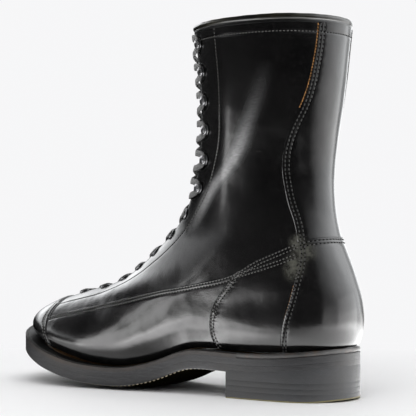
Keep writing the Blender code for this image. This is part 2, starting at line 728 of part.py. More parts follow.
def shaft_lining():
    low = seam([(-103, 122.5), (-85, 118.5), (-60, 115.5), (-20, 121), (20, 129.0)])
    low[-1, 0] = pi
    low[0, 0] = throat_phi(float(low[0, 1]), 1.5)
    half = np.concatenate([throat(1.5, float(low[0, 1]), TOP_RISE, 60)[::-1], low])
    poly = polygon(half, across(half), row(TOP_RISE, 2 * pi - half[0, 0], half[0, 0], 200),
                   pitch=16.0)
    panel("shaft_lining", poly, TAN, SHAFT, outer=LINING_OUT, inner=LINING_IN, pitch=16.0, gap=0)


# ------------------------------------------------------------------ tongue
FOLD_RISE = ridge_rise(TONGUE_FOLD_Z)


def tongue():
    """A flap above the fold line, narrowed towards its top."""
    top = TOP_RISE - 3
    edge = throat(19, FOLD_RISE + TONGUE_FOLD_GAP, top, 60)
    edge[:, 0] *= 1 - 0.30 * smooth_step(edge[:, 1], TOP_RISE - 16, top) ** 2
    poly = polygon(edge, mirror(edge),
                   row(FOLD_RISE + TONGUE_FOLD_GAP, -edge[0, 0], edge[0, 0]))
    panel("tongue", poly, LEATHER, TONGUE, outer=TONGUE_OUT, inner=TONGUE_IN, pitch=14.0, gap=0)


def tongue_gusset():
    """A thinner sheet below the fold line, widening upwards."""
    edge = np.array([
        (arc_phi(rise, float(THROAT_ARC(rise)) + 14 * smooth_step(rise, 40, 90) + 6), rise)
        for rise in np.linspace(GUSSET_RISE, FOLD_RISE - TONGUE_FOLD_GAP, 60)])
    poly = polygon(edge, mirror(edge), row(GUSSET_RISE, -edge[0, 0], edge[0, 0]))
    panel("tongue_gusset", poly, LEATHER, FOOT, outer=TONGUE_OUT, inner=TONGUE_IN + .6,
          pitch=10.0, gap=0)


# ------------------------------------------------------------------ binding, hooks, eyelets
def collar_binding():
    """Rolled edge round the collar, from throat edge to throat edge."""
    count = 29
    start = arc_phi(TOP_RISE, 21.0)
    phis = np.linspace(start, 2 * pi - start, count)
    point, _, upward, normal = surface_frame(phis, np.full(count, TOP_RISE + 3.4))
    upward = upward / np.linalg.norm(upward, axis=1, keepdims=True)
    sweep("collar_binding", point - normal * 1.6, list(zip(normal, upward)),
          circle(BINDING_R, 8), BINDING, SHAFT)


def fitting_axes(phi, rise, side):
    """Point, towards-the-throat, up-the-boot and outward directions."""
    point, along, upward, normal = surface_frame(side * phi, rise)
    forward = -along * side / np.linalg.norm(along)
    upward = upward - normal * (upward @ normal)
    upward = upward - forward * (upward @ forward)
    return point, forward, upward / np.linalg.norm(upward), normal


# rivet pad and curled lug, open away from the throat: towards the throat, outward, half width
HOOK_STRIP = np.array([
    (-4.2, 1.1, 2.0), (-1.7, 1.1, 3.7), (1.4, 1.1, 3.9), (3.8, 1.4, 3.1), (5.4, 2.6, 2.8),
    (5.4, 4.3, 2.8), (3.8, 5.5, 3.1), (0.6, 5.8, 3.1), (-2.6, 5.4, 1.3)])
HOOK_HALF_T = 0.5
# half section of the strip edge: share of the half width, share of the half thickness
HOOK_SECTION = np.array([(-1, 0), (-.85, -1), (.85, -1), (1, 0), (.85, 1), (-.85, 1)])


def speed_hook(name, phi, rise, side):
    point, forward, upward, normal = fitting_axes(phi, rise, side)
    heading = np.gradient(HOOK_STRIP[:, :2], axis=0)
    heading /= np.linalg.norm(heading, axis=1, keepdims=True)
    path = [point + forward * ahead + normal * out for ahead, out, _ in HOOK_STRIP]
    axes = [(upward, forward * -out + normal * ahead) for ahead, out in heading]
    sections = [HOOK_SECTION * (half_width, HOOK_HALF_T) for half_width in HOOK_STRIP[:, 2]]
    sweep(name, path, axes, sections, ENAMEL, SHAFT)


# turned barrel with a rolled flange: radius, distance outward
EYELET_PROFILE = [(1.6, -2.0), (2.35, -2.0), (2.35, 0.4), (4.2, 0.4), (3.7, 1.1), (2.0, 1.1)]


def eyelet(name, phi, rise, side, part):
    point, forward, upward, normal = fitting_axes(phi, rise, side)
    axes = [(forward * ahead + upward * above, normal) for ahead, above in circle(1.0, 8)]
    sweep(name, [point] * len(axes), axes, EYELET_PROFILE, ENAMEL, part, closed=True)


def fittings():
    for side, tag in ((1, "lateral"), (-1, "medial")):
        for i, (phi, rise) in enumerate(HOOKS):
            speed_hook("speed_hook_%s_%d" % (tag, i + 1), phi, rise, side)
        for i, (phi, rise) in enumerate(EYELETS):
            # only the top pair moves with the shaft
            eyelet("eyelet_%s_%d" % (tag, i + 1), phi, rise, side, SHAFT if i == 0 else FOOT)


# ------------------------------------------------------------------ lace
LACE_R = 1.2
LACE_STEP = 5.8           # length of one facet
LACE_OVER, LACE_UNDER = 1.9, -1.2     # heights of the two strands where they cross
LACE_FLANK = 1.9          # their heights beside the crossing lie halfway to this
# way points round one fitting: distance away from the throat, rise offset, height
HOOK_TURN = (
    (-9.0, 5.8, 2.2), (-4.0, 5.2, 3.2), (0.6, 3.0, 3.4), (1.2, 0.0, 3.4),
    (0.6, -3.0, 3.4), (-4.0, -5.2, 3.2), (-9.0, -5.8, 2.2))
EYELET_TURN = ((-4.5, 2.6, 3.3), (0.0, 0.0, 3.6), (-4.5, -2.6, 3.4))
LACED = HOOKS + EYELETS


def strand(first_side, crossing):
    """Way points (phi, rise, height) of one strand, top to bottom, and the side it ends on."""
    flank = LACE_FLANK + .5 * (crossing - LACE_FLANK)
    side = first_side
    way = []
    for k, (phi, rise) in enumerate(LACED):
        _, along, _, _ = surface_frame(phi, rise)
        per_phi = np.linalg.norm(along)
        turn = HOOK_TURN if k < len(HOOKS) else EYELET_TURN
        way += [(side * (phi + away / per_phi), rise + lift, height)
                for away, lift, height in turn]
        if k + 1 < len(LACED):
            next_rise = LACED[k + 1][1]
            middle = (rise + next_rise) / 2
            slant = .22 * (rise - next_rise)
            flank_phi = side * min(throat_phi(middle), .9 * phi) * .55
            way += [(flank_phi, middle + slant, flank), (0.0, middle, crossing),
                    (-flank_phi, middle - slant, flank)]
        side = -side
    return way, -side


def lace_way():
    """The whole cord: over the top, down one strand, across the toe end, up the other."""
    down, end_side = strand(1, LACE_OVER)
    back, _ = strand(-1, LACE_UNDER)
    top_phi, top_rise = HOOKS[0]
    start = [(-top_phi * .35, top_rise + 8.3, 1.6), (0.0, top_rise + 8.3, 1.8),
             (top_phi * .4, top_rise + 7.8, 1.8)]
    last_phi, last_rise = EYELETS[-1]
    bar = [(end_side * last_phi * .5, last_rise - 3.4, 2.9), (0.0, last_rise - 3.8, 2.6),
           (-end_side * last_phi * .5, last_rise - 3.4, 2.9)]
    return np.array(start + down + bar + back[::-1])


def lace():
    """One cord, laced criss-cross from hook to hook and eyelet to eyelet."""
    way = lace_way()
    steps = np.linalg.norm(np.diff(surface(way[:, 0], way[:, 1]), axis=0), axis=1)
    run = np.concatenate([[0], np.cumsum(np.maximum(steps, .8))])
    dense = spline(run, way)(np.linspace(0, run[-1], int(run[-1] / LACE_STEP)))
    point, _, _, normal = surface_frame(dense[:, 0], dense[:, 1])
    path = point + normal * dense[:, 2:3]
    heading = np.gradient(path, axis=0)
    heading /= np.linalg.norm(heading, axis=1, keepdims=True)
    sideways = np.cross(heading, normal)
    sideways /= np.linalg.norm(sideways, axis=1, keepdims=True)
    sweep("lace", path, list(zip(sideways, np.cross(sideways, heading))),
          circle(LACE_R, 4, start=pi / 4), COTTON, SHAFT)


# ------------------------------------------------------------------ sole outline and heights
# plan (x, y) of the sole, from the back of the heel down the lateral side to the toe and back
OUTLINE = ring_spline([
    (0, 40), (19.25, 34.8), (33.3, 20.75), (HEEL_R, 1.5), (39.2, -38), (40.2, -80),
    (44.5, -112), (51, -150), (54, -185), (49, -215), (36, -240), (14, -258),
    (-8, -265.5), (-27, -258), (-43, -240), (-51.5, -215), (-52, -185), (-44, -150),
    (-34, -112), (-31.5, -80), (-35.5, -38), (-HEEL_R, 1.5), (-33.3, 20.75), (-19.25, 34.8)])


def outline(shrink, count):
    """The sole's plan outline, moved inwards by shrink, in even steps."""
    points = OUTLINE(np.arange(count * 8) / (count * 8))
    tangent = np.roll(points, -1, 0) - np.roll(points, 1, 0)
    tangent /= np.linalg.norm(tangent, axis=1, keepdims=True)
    points = points + np.stack([-tangent[:, 1], tangent[:, 0]], 1) * (-shrink)
    loop = np.vstack([points, points[:1]])
    run = arc_length(loop)
    marks = np.linspace(0, run[-1], count + 1)[:-1]
    return np.stack([np.interp(marks, run, loop[:, 0]), np.interp(marks, run, loop[:, 1])], 1)


def feather_ring(shrink, count):
    """Plan of the upper's lower edge, moved inwards by shrink."""
    phis = np.arange(count) * 2 * pi / count
    point, _, _, normal = surface_frame(phis, np.zeros(count))
    outwards = normal[:, :2] / np.linalg.norm(normal[:, :2], axis=1, keepdims=True)
    return point[:, :2] - outwards * shrink


def by_angle(points, centre_y, facing=1):
    """Plan points sorted by angle about (0, centre_y), starting opposite the facing."""
    return points[np.argsort(np.arctan2(points[:, 0], (points[:, 1] - centre_y) * facing))]


def welt_height(y):
    """Feather line height less a joint, rising steeply in front of the upper."""
    share = (y - FEATHER_FRONT_Y) / (FEATHER_BACK_Y - FEATHER_FRONT_Y)
    return FEATHER(np.clip(share, 0, 1)) - 0.3 + np.where(share < 0, -share * 70, 0)


HEIGHT_Y = np.concatenate([[-270], CREASE_Y, [45]])
HEIGHT_Z = welt_height(HEIGHT_Y)


def top_z(x, y):
    """Upper face of the welt: straight between the shared cross lines."""
    return np.interp(y, HEIGHT_Y, HEIGHT_Z)


def level(offset):
    """A face parallel to the upper face of the welt."""
    return lambda x, y: top_z(x, y) + offset


# the two sides of the outline, each from toe to heel
TURN = OUTLINE(np.arange(721) / 720)
TOE_INDEX = int(np.argmin(TURN[:, 1]))
LATERAL_EDGE, MEDIAL_EDGE = TURN[:TOE_INDEX + 1][::-1], TURN[TOE_INDEX:]


def edge_share(x, y):
    """0 in the middle of the sole, 1 along its edge."""
    high = np.interp(y, LATERAL_EDGE[:, 1], LATERAL_EDGE[:, 0])
    low = np.interp(y, MEDIAL_EDGE[:, 1], MEDIAL_EDGE[:, 0])
    from_middle = np.abs(x - (high + low) / 2) / np.maximum((high - low) / 2, 1.0)
    return smooth_step(from_middle, 0.4, 1.0)


def tread_z(x, y):
    """Lower face of the outsole: flat in mid ball, higher at the edges, arched at the waist."""
    edge = top_z(x, y) - SOLE_STACK
    middle = np.maximum(0, edge - OUTSOLE_CROWN * smooth_step(-y, 60, 110))
    return middle + (edge - middle) * edge_share(x, y)


# ------------------------------------------------------------------ bottom unit
def outsole():
    plate("outsole", outline(0.2, 60), tread_z, level(-WELT_T - MIDSOLE_T - 2 * SOLE_JOINT),
          SOLE_EDGE, pitch=17.0)


def midsole():
    plate("midsole", outline(0.0, 60), level(-WELT_T - MIDSOLE_T - SOLE_JOINT),
          level(-WELT_T - SOLE_JOINT), SOLE_EDGE, pitch=30.0)


def welt_strip(name, within, centre_y, facing):
    """Part of the ring between the sole's edge and the feather: out along one, back the other."""
    outer, inner = (by_angle(ring[within(ring[:, 1])], centre_y, facing)
                    for ring in (outline(0.1, 66), feather_ring(3.2, 66)))
    plate(name, np.concatenate([outer, inner[::-1]]), level(-WELT_T), top_z, WELT, pitch=60)


def welt_and_rand():
    welt_strip("welt", lambda y: y < WELT_END_Y, centre_y=-130.0, facing=-1)
    welt_strip("heel_rand", lambda y: y > RAND_START_Y, centre_y=0.0, facing=1)


def cork_filler():
    plate("cork_filler", feather_ring(3.9, 40), level(-WELT_T), level(-WELT_T + 1.3), CORK,
          pitch=20)


def shank():
    """Steel bar under the waist."""
    centre_x, half_width = 2.5, 9.0
    front_y, back_y = -118, -2
    plan = [(centre_x - half_width, y) for y in np.linspace(front_y, back_y, 15)]
    plan += [(centre_x + half_width, y) for y in np.linspace(back_y, front_y, 15)]
    plate("shank", plan, level(-WELT_T + 1.7), level(-.1), STEEL, pitch=40)


def insole():
    plate("insole", feather_ring(5.2, 40), level(.3), level(3.0), BOARD, pitch=18)


def sock_liner():
    """Thin leather on the rear part of the insole."""
    plan = feather_ring(9.6, 90)
    plan = by_angle(plan[plan[:, 1] > -150], centre_y=-60)
    plate("sock_liner", plan[::2], level(3.35), level(4.6), TAN, pitch=18)


def heel_outline():
    """D-shaped plan of the heel: the sole's outline behind a straight breast."""
    back = outline(0.2, 90)
    back = by_angle(back[back[:, 1] > HEEL_BREAST_Y + 1.0], centre_y=0.0)
    breast = np.array([(back[-1, 0], HEEL_BREAST_Y), (back[0, 0], HEEL_BREAST_Y)])
    return np.concatenate([back, breast])


def heel_bevel(x, y):
    """The tread curls up a little behind the middle of the heel."""
    return 1.5 * smooth_step(y, 16, 42) ** 1.5


def heel():
    """Top lift on the ground, two lifts, and a wedge up to the outsole."""
    plan = heel_outline()
    plate("top_lift", plan, heel_bevel, TOP_LIFT_T, TOP_LIFT, pitch=15)
    base = TOP_LIFT_T + LIFT_GAP
    for k in range(2):
        plate("heel_lift_%d" % (k + 1), plan, base, base + LIFT_T, SOLE_EDGE, pitch=60)
        base += LIFT_T + LIFT_GAP
    plate("heel_wedge", plan, base, level(-SOLE_STACK - LIFT_GAP), SOLE_EDGE, pitch=20)


# ------------------------------------------------------------------ build
for build in (
        toe_cap, vamps, foxings, heel_counter_cover, backstay, quarters, facings,
        toe_stiffener, counter_stiffener, foot_lining, shaft_lining, tongue, tongue_gusset,
        collar_binding, fittings, lace,
        outsole, midsole, welt_and_rand, cork_filler, shank, insole, sock_liner, heel):
    build()
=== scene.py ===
"""Looks of a lace-to-toe leather boot, built around its CAD pieces.

Lengths are in millimetres in the CAD's own frame: toe towards -Y, outer (lateral)
side towards +X, +Z up.  Meshes, lights and camera are handed to Blender in metres.

The upper is drawn on a last-shaped surface with coordinates (phi, v): phi runs round a
girth loop from the front ridge (0) by the lateral side to the back (pi), v runs up the
front ridge in millimetres.  A "line" is an array of (phi, v) rows.
"""

import bmesh
import bpy
import numpy as np
from math import pi, sin, cos, radians
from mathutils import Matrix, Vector, noise
from mathutils.geometry import delaunay_2d_cdt


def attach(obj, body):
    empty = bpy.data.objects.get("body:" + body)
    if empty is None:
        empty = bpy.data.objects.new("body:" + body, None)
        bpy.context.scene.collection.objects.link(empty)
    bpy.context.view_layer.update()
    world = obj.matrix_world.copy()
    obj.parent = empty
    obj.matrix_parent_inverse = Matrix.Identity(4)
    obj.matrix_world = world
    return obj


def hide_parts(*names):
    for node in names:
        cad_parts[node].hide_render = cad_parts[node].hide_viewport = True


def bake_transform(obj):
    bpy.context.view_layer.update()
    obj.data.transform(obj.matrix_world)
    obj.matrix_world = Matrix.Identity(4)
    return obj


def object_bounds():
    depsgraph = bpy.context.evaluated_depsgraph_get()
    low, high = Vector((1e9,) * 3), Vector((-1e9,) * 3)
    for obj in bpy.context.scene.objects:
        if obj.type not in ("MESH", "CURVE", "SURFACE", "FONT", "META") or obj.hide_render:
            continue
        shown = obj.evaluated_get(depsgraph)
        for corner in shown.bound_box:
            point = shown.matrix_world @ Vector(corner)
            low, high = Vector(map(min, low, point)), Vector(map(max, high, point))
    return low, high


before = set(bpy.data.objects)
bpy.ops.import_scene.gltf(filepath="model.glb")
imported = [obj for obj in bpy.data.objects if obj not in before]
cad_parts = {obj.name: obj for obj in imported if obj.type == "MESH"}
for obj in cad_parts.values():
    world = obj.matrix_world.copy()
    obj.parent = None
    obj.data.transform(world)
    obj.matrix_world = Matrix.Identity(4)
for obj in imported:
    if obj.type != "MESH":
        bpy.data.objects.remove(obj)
CAD_LO, CAD_HI = [list(map(float, p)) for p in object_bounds()]

# ------------------------------------------------------------------ dimensions
COLLAR_Z = 271.0          # height of the collar binding
HEEL_R = 38.5             # radius of the D-shaped heel back
HEEL_BREAST_Y = -42.5     # front face of the heel block
SOLE_STACK = 14.2         # welt + midsole + outsole, at the edge
OUTSOLE_CROWN = 3.6       # the tread is this much higher at its edge than in its middle
LEATHER_T = 1.7           # the inside of the leather lies this far below the surface
LINING_IN = -4.0          # inner face of the linings, from the surface
TONGUE_OUT, TONGUE_IN = -5.0, -7.0
PITCH = 13.0              # default spacing of polygon corners
TOP_LIFT_T, LIFT_T, LIFT_GAP = 5.4, 3.5, 0.3
BINDING_R = 2.4
HOOK_ARC = 12.0           # speed hooks sit this far behind the throat edge
EYELET_ARC = 6.6
HOOK_Z = (256.7, 236.2, 214.7, 193.4, 171.5, 150.6)         # on the ridge line, going down
EYELET_Z = (132.0, 116.5, 103.0, 91.5, 82.5, 75.5, 70.5)
V_TOP = 280.4             # the panels end here, under the binding
V_CAP = 41.0              # the cap seam crosses the ridge here
V_THROAT_END = 52.0
V_TOP_STITCH = 273.7      # row of stitches under the collar


# ------------------------------------------------------------------ lines and splines
def unit(vectors):
    return vectors / np.linalg.norm(vectors, axis=-1, keepdims=True)


def closed(ring):
    """The ring with its first point repeated at the end."""
    return np.vstack([ring, ring[:1]])


def arc_length(points):
    """Distance run at each point of an open line."""
    return np.concatenate([[0], np.cumsum(np.linalg.norm(np.diff(points, axis=0), axis=1))])


def interpolate(stations, lengths, points):
    """Two-column points at the given distances along a line."""
    return np.stack([np.interp(stations, lengths, points[:, k]) for k in (0, 1)], 1)


def spline(knots, values):
    """Natural cubic spline through the knots, held flat outside them."""
    knots = np.asarray(knots, float)
    values = np.asarray(values, float)
    count = len(knots)
    gap = np.diff(knots)
    matrix = np.zeros((count, count))
    right = np.zeros((count,) + values.shape[1:])
    slope = (values[1:] - values[:-1]) / gap.reshape((-1,) + (1,) * (values.ndim - 1))
    for i in range(1, count - 1):
        matrix[i, i - 1:i + 2] = gap[i - 1], 2 * (gap[i - 1] + gap[i]), gap[i]
        right[i] = 6 * (slope[i] - slope[i - 1])
    matrix[0, 0] = matrix[-1, -1] = 1
    second = np.linalg.solve(matrix, right)

    def evaluate(x):
        x = np.asarray(x, float)
        held = np.clip(x, knots[0], knots[-1])
        i = np.clip(np.searchsorted(knots, held, side="right") - 1, 0, count - 2)
        shape = x.shape + (1,) * (values.ndim - 1)
        before = ((knots[i + 1] - held) / gap[i]).reshape(shape)
        after = ((held - knots[i]) / gap[i]).reshape(shape)
        square = (gap[i] ** 2).reshape(shape)
        bow = (before**3 - before) * second[i] + (after**3 - after) * second[i + 1]
        return before * values[i] + after * values[i + 1] + bow * square / 6

    return evaluate


def ring_spline(points):
    """Closed smooth curve through the points, as a function of turns."""
    points = np.array(points, float)
    gaps = np.linalg.norm(np.roll(points, -1, 0) - points, axis=1) ** 0.8
    knots = np.concatenate([[0], np.cumsum(gaps)])
    total = knots[-1]
    once = knots[:-1]
    evaluate = spline(np.concatenate([once - total, once, once + total, [2 * total]]),
                      np.concatenate([points, points, points, points[:1]]))
    return lambda turns: evaluate(np.asarray(turns) % 1.0 * total)


def smooth_step(x, start, end):
    t = np.clip((x - start) / (end - start), 0, 1)
    return t * t * (3 - 2 * t)


# ------------------------------------------------------------------ the upper's surface
FEATHER_TOE_Y, FEATHER_HEEL_Y = -255.5, 38.0
FEATHER_TOE_Z, FEATHER_DROP = 40.5, 3.1      # straight line that the feather line sags below
# height of the feather line (where the upper meets the welt), toe (0) to heel (1)
FEATHER = spline(
    [0, .06, .13, .2, .28, .35, .41, .475, .535, .595, .65, .72, .83, .93, 1],
    [FEATHER_TOE_Z, 36.2, 29.5, 24.2, 19.6, 17.7, 17.6, 20.6, 26.0, 32.2, 33.6, 33.0, 33.0,
     35.2, 37.4])
# girth loops, feather to collar: front y, z; back y, z; half widths at s = .12 .3 .5 .7 .88;
# roundness of front and back; share of the feather's sag; share of SWING; v
LOOPS = (
    (FEATHER_TOE_Y, FEATHER_TOE_Z, FEATHER_HEEL_Y, 37.4, 37.0, 42.0, 31.0, 29.5, 29.3,
     70.0, 67.6, 1.00, 1.0, 0.0),
    (-257.0, 48.0, 41.0, 47.0, 40.5, 46.5, 35.8, 33.0, 32.0, 73.0, 70.0, .93, 1.0, 9.1),
    (-241.5, 61.0, 41.6, 66.5, 30.5, 40.5, 37.3, 34.6, 31.7, 52.0, 68.5, .55, 1.0, 29.9),
    (-209.0, 71.2, 38.0, 81.0, 25.0, 36.0, 36.2, 34.8, 31.0, 33.0, 63.0, .30, .9, 54.9),
    (-170.0, 81.4, 33.0, 95.0, 22.5, 32.8, 35.5, 34.5, 29.2, 34.0, 56.0, .12, .7, 83.2),
    (-136.0, 103.0, 26.4, 111.0, 20.5, 29.8, 33.7, 33.2, 27.0, 31.5, 50.0, .04, .5, 111.8),
    (-108.0, 128.0, 21.0, 132.0, 20.0, 28.5, 32.3, 31.8, 24.5, 32.0, 43.5, 0.0, .2, 141.8),
    (-91.0, 160.0, 19.2, 162.0, 21.5, 30.0, 33.2, 31.8, 24.5, 38.0, 42.0, 0.0, 0.0, 174.8),
    (-85.0, 205.0, 24.0, 205.0, 25.0, 35.5, 39.3, 37.5, 29.0, 42.0, 46.0, 0.0, 0.0, 219.2),
    (-91.0, COLLAR_Z, 32.3, COLLAR_Z - 1, 28.5, 41.0, 45.8, 44.5, 33.5,
     46.9, 51.0, 0.0, 0.0, 285.7),
)
WIDTH_S = np.array([0, .12, .3, .5, .7, .88, 1.0])
SWING = spline(WIDTH_S, [-8, -3, 1, 4, 1.5, .2, 0])     # sideways shift along the foot
RATIO_BASIS = spline(WIDTH_S, np.eye(7))
LOOP_SINE = 2 * np.sqrt(WIDTH_S[1:-1] * (1 - WIDTH_S[1:-1]))
# columns: front y, z; back y, z; sag; swing; seven ratios of half width to sine of phi
LOOP = spline([loop[-1] for loop in LOOPS],
              [list(loop[:4]) + [loop[11], loop[12], loop[9]]
               + list(np.array(loop[4:9]) / LOOP_SINE) + [loop[10]] for loop in LOOPS])


def feather_sag(s):
    return FEATHER(s) - (FEATHER_TOE_Z - FEATHER_DROP * s)


def surface(phi, v):
    """Point on the last-shaped surface."""
    phi, v = np.broadcast_arrays(np.asarray(phi, float), np.asarray(v, float))
    loop = LOOP(v)
    s = (1 - np.cos(phi)) / 2
    front_y, front_z, back_y, back_z, sag, swing = [loop[..., i] for i in range(6)]
    ratio = np.sum(RATIO_BASIS(s) * loop[..., 6:], axis=-1)
    return np.stack([SWING(s) * swing + ratio * np.sin(phi),
                     front_y + (back_y - front_y) * s,
                     front_z + (back_z - front_z) * s + sag * feather_sag(s)], -1)


def surface_frame(phi, v):
    """Point, derivatives by phi and by v, and the outward normal."""
    eps = 1e-3
    by_phi = (surface(phi + eps, v) - surface(phi - eps, v)) / (2 * eps)
    by_v = (surface(phi, v + eps * 20) - surface(phi, v - eps * 20)) / (40 * eps)
    return surface(phi, v), by_phi, by_v, unit(np.cross(by_phi, by_v))


def points_on(line):
    return surface(*line.T)


def from_side_view(points):
    """(phi, v) on the lateral side for points (y, z) given in side view."""
    vs = np.linspace(0, 290, 1161)
    loop = LOOP(vs)
    out = []
    for y, z in points:
        s = np.clip((y - loop[:, 0]) / (loop[:, 2] - loop[:, 0]), 0, 1)
        above = loop[:, 1] + (loop[:, 3] - loop[:, 1]) * s + loop[:, 4] * feather_sag(s) - z
        k = int(np.argmax(above > 0)) if (above > 0).any() else len(vs) - 1
        k = max(k, 1)
        t = np.clip(-above[k - 1] / (above[k] - above[k - 1]), 0, 1)
        share = s[k - 1] + t * (s[k] - s[k - 1])
        out.append((np.arccos(1 - 2 * share), vs[k - 1] + t * (vs[k] - vs[k - 1])))
    return np.array(out)


def phi_at_arc(v, arc):
    """phi at which the girth loop has run arc millimetres from the front ridge."""
    phis = np.linspace(0, 1.6, 161)
    return float(np.interp(arc, arc_length(surface(phis, np.full_like(phis, v))), phis))


def ridge_v(z):
    vs = np.linspace(0, 290, 2901)
    return float(np.interp(z, LOOP(vs)[:, 1], vs))


def resample(line, pitch):
    """Even samples along a line, measured on the surface."""
    line = np.asarray(line, float)
    lengths = arc_length(points_on(line))
    count = max(int(round(lengths[-1] / pitch)), 1)
    return interpolate(np.linspace(0, lengths[-1], count + 1), lengths, line)


def points_along(line, pitch=2.0):
    return points_on(resample(line, pitch))


def sideways(line, offset):
    """The line moved over the surface, to its left as seen from outside."""
    line = resample(line, 1.6)
    points, by_phi, by_v, normal = surface_frame(*line.T)
    left = np.cross(normal, unit(np.gradient(points, axis=0)))
    phi_phi, v_v, phi_v = [(a * b).sum(-1) for a, b in
                           ((by_phi, by_phi), (by_v, by_v), (by_phi, by_v))]
    left_phi, left_v = (left * by_phi).sum(-1) * offset, (left * by_v).sum(-1) * offset
    det = phi_phi * v_v - phi_v * phi_v
    out = line + np.stack([(left_phi * v_v - left_v * phi_v) / det,
                           (left_v * phi_phi - left_phi * phi_v) / det], 1)
    out[:, 1] = np.clip(out[:, 1], .05, 285)
    return out


def level_line(v, start, end, count=120):
    return np.stack([np.linspace(start, end, count), np.full(count, float(v))], 1)


def across(line):
    """The line's medial twin, run backwards, as phi beyond pi."""
    line = np.array(line, float)[::-1].copy()
    line[:, 0] = 2 * pi - line[:, 0]
    return line


def other_side(line):
    """The line's medial twin, as negative phi."""
    return np.column_stack([-line[:, 0], line[:, 1]])


# ------------------------------------------------------------------ seams
def seam(points):
    """Smooth line on the lateral side through side-view points (y, z)."""
    points = np.array(points, float)
    lengths = arc_length(points)
    return from_side_view(spline(lengths, points)(np.linspace(0, lengths[-1], 160)))


def nearest(line, place):
    """Index of the line's sample closest to a (phi, v) place."""
    return int(np.argmin(np.linalg.norm(points_on(line) - surface(*place), axis=1)))


def cut_top(line):
    """The part of a downward line below V_TOP, starting exactly there."""
    below = line[:, 1] < V_TOP
    first, above = line[below][0], line[~below][-1]
    t = (V_TOP - first[1]) / (above[1] - first[1])
    return np.concatenate([[first + (above - first) * t], line[below]])


# arc from the front ridge to the throat edge
THROAT_ARC = spline([V_THROAT_END, 60, 83, 112, 142, 175, 219, 286],
                    [0.0, 5.0, 6.6, 9.0, 13.0, 17.0, 20.0, 22.0])


def past_throat(v, arc):
    """phi of a place arc millimetres behind the throat edge."""
    return phi_at_arc(v, float(THROAT_ARC(v)) + arc)


def throat(arc=0.0, low=V_THROAT_END, high=V_TOP, count=90):
    return np.array([(past_throat(v, arc), v) for v in np.linspace(low, high, count)])


JUNCTION = (9.6, 111.5)     # where the seams meet above the heel
LONG_SEAM = seam([(-219.5, 51.5), (-206, 54.6), (-171, 61.6), (-142, 67.3), (-101.5, 75.7),
                  (-83, 78.8), (-58, 83.4), (-36, 89.6), (-22.5, 97.2), (-4.2, 105.3), JUNCTION])
FOXING_SEAM = seam([(-36, 89.6), (-44, 79.5), (-53, 68.2), (-57.3, 57.3), (-58, 47),
                    (-56.4, 38.5), (-54, 33.7)])
COUNTER_SEAM = seam([JUNCTION, (11.2, 104.8), (11.6, 92.8), (10.1, 82.4), (5.7, 65),
                     (2.8, 54.5), (0.8, 44.3), (-0.8, 33.6)])
STAY_SEAM = seam([(25.6, 270), (23.6, 252), (21.4, 238.4), (18.1, 222.5), (12.8, 206.5),
                  (8.7, 197.7), (4.1, 187.3), (-.2, 173.7), (-1.5, 163), (-.4, 150), (2.3, 137),
                  (6.2, 125.5), JUNCTION])
FACING_SEAM = seam([(-51.5, 270), (-50.5, 255), (-49.3, 228), (-49.7, 204), (-53.8, 180),
                    (-59.5, 166), (-65.4, 153), (-75.8, 138), (-88.5, 122.5), (-103, 109),
                    (-121, 96.5), (-139, 86.2), (-157, 77.6), (-178, 70.3), (-201, 65.4),
                    (-224, 60.8)])
cap_side = seam([(-224, 60.8), (-222.2, 55.2), (-217.4, 46.1), (-212.2, 37.8), (-207.5, 26.5)])
cap_side[-1, 1] = 0
share = np.linspace(0, 1, 12)
cap_front = np.column_stack([cap_side[0, 0] * share,
                             V_CAP + (cap_side[0, 1] - V_CAP) * share ** 2])
CAP_SEAM = np.concatenate([cap_front[:-1], cap_side])     # ridge to feather

# the seams are tied together where they meet
LONG_AT_CAP = nearest(CAP_SEAM, LONG_SEAM[0])
LONG_SEAM[0] = CAP_SEAM[LONG_AT_CAP]
FACING_AT_CAP = nearest(CAP_SEAM, FACING_SEAM[-1])
FACING_SEAM[-1] = CAP_SEAM[FACING_AT_CAP]
FOXING_AT_LONG = nearest(LONG_SEAM, FOXING_SEAM[0])
FOXING_SEAM[0] = LONG_SEAM[FOXING_AT_LONG]
COUNTER_SEAM[0] = STAY_SEAM[-1] = LONG_SEAM[-1]
FOXING_SEAM[-1, 1] = COUNTER_SEAM[-1, 1] = 0.0
STAY_SEAM = cut_top(STAY_SEAM)
FACING_SEAM = cut_top(FACING_SEAM)
THROAT_EDGE = throat()
# the back seam runs nearly level from junction to junction
half_back = seam([JUNCTION, (15.4, 113.4), (21.5, 114.6), (24.9, 115.0)])
half_back[0] = LONG_SEAM[-1]
half_back[-1, 0] = pi
BACK_SEAM = np.concatenate([half_back, across(half_back)[1:]])
LONG_FRONT, LONG_REAR = LONG_SEAM[:FOXING_AT_LONG + 1], LONG_SEAM[FOXING_AT_LONG:]
# stretches of the cap seam that meet the facing, the quarter and the vamp
CAP_FACING = CAP_SEAM[:FACING_AT_CAP + 1]
CAP_QUARTER = CAP_SEAM[FACING_AT_CAP:LONG_AT_CAP + 1]
CAP_VAMP = CAP_SEAM[LONG_AT_CAP:]
CAP_ALL = np.concatenate([other_side(CAP_SEAM)[::-1], CAP_SEAM[1:]])


def lacing_stations(heights, arc):
    return [(past_throat(v, arc), v) for v in map(ridge_v, heights)]


eyelets = lacing_stations(EYELET_Z, EYELET_ARC)
hooks = lacing_stations(HOOK_Z, HOOK_ARC)


# ------------------------------------------------------------------ polygons and triangles
SHEET_SCALE = np.array([60.0, 1.0])     # makes the (phi, v) plane roughly even


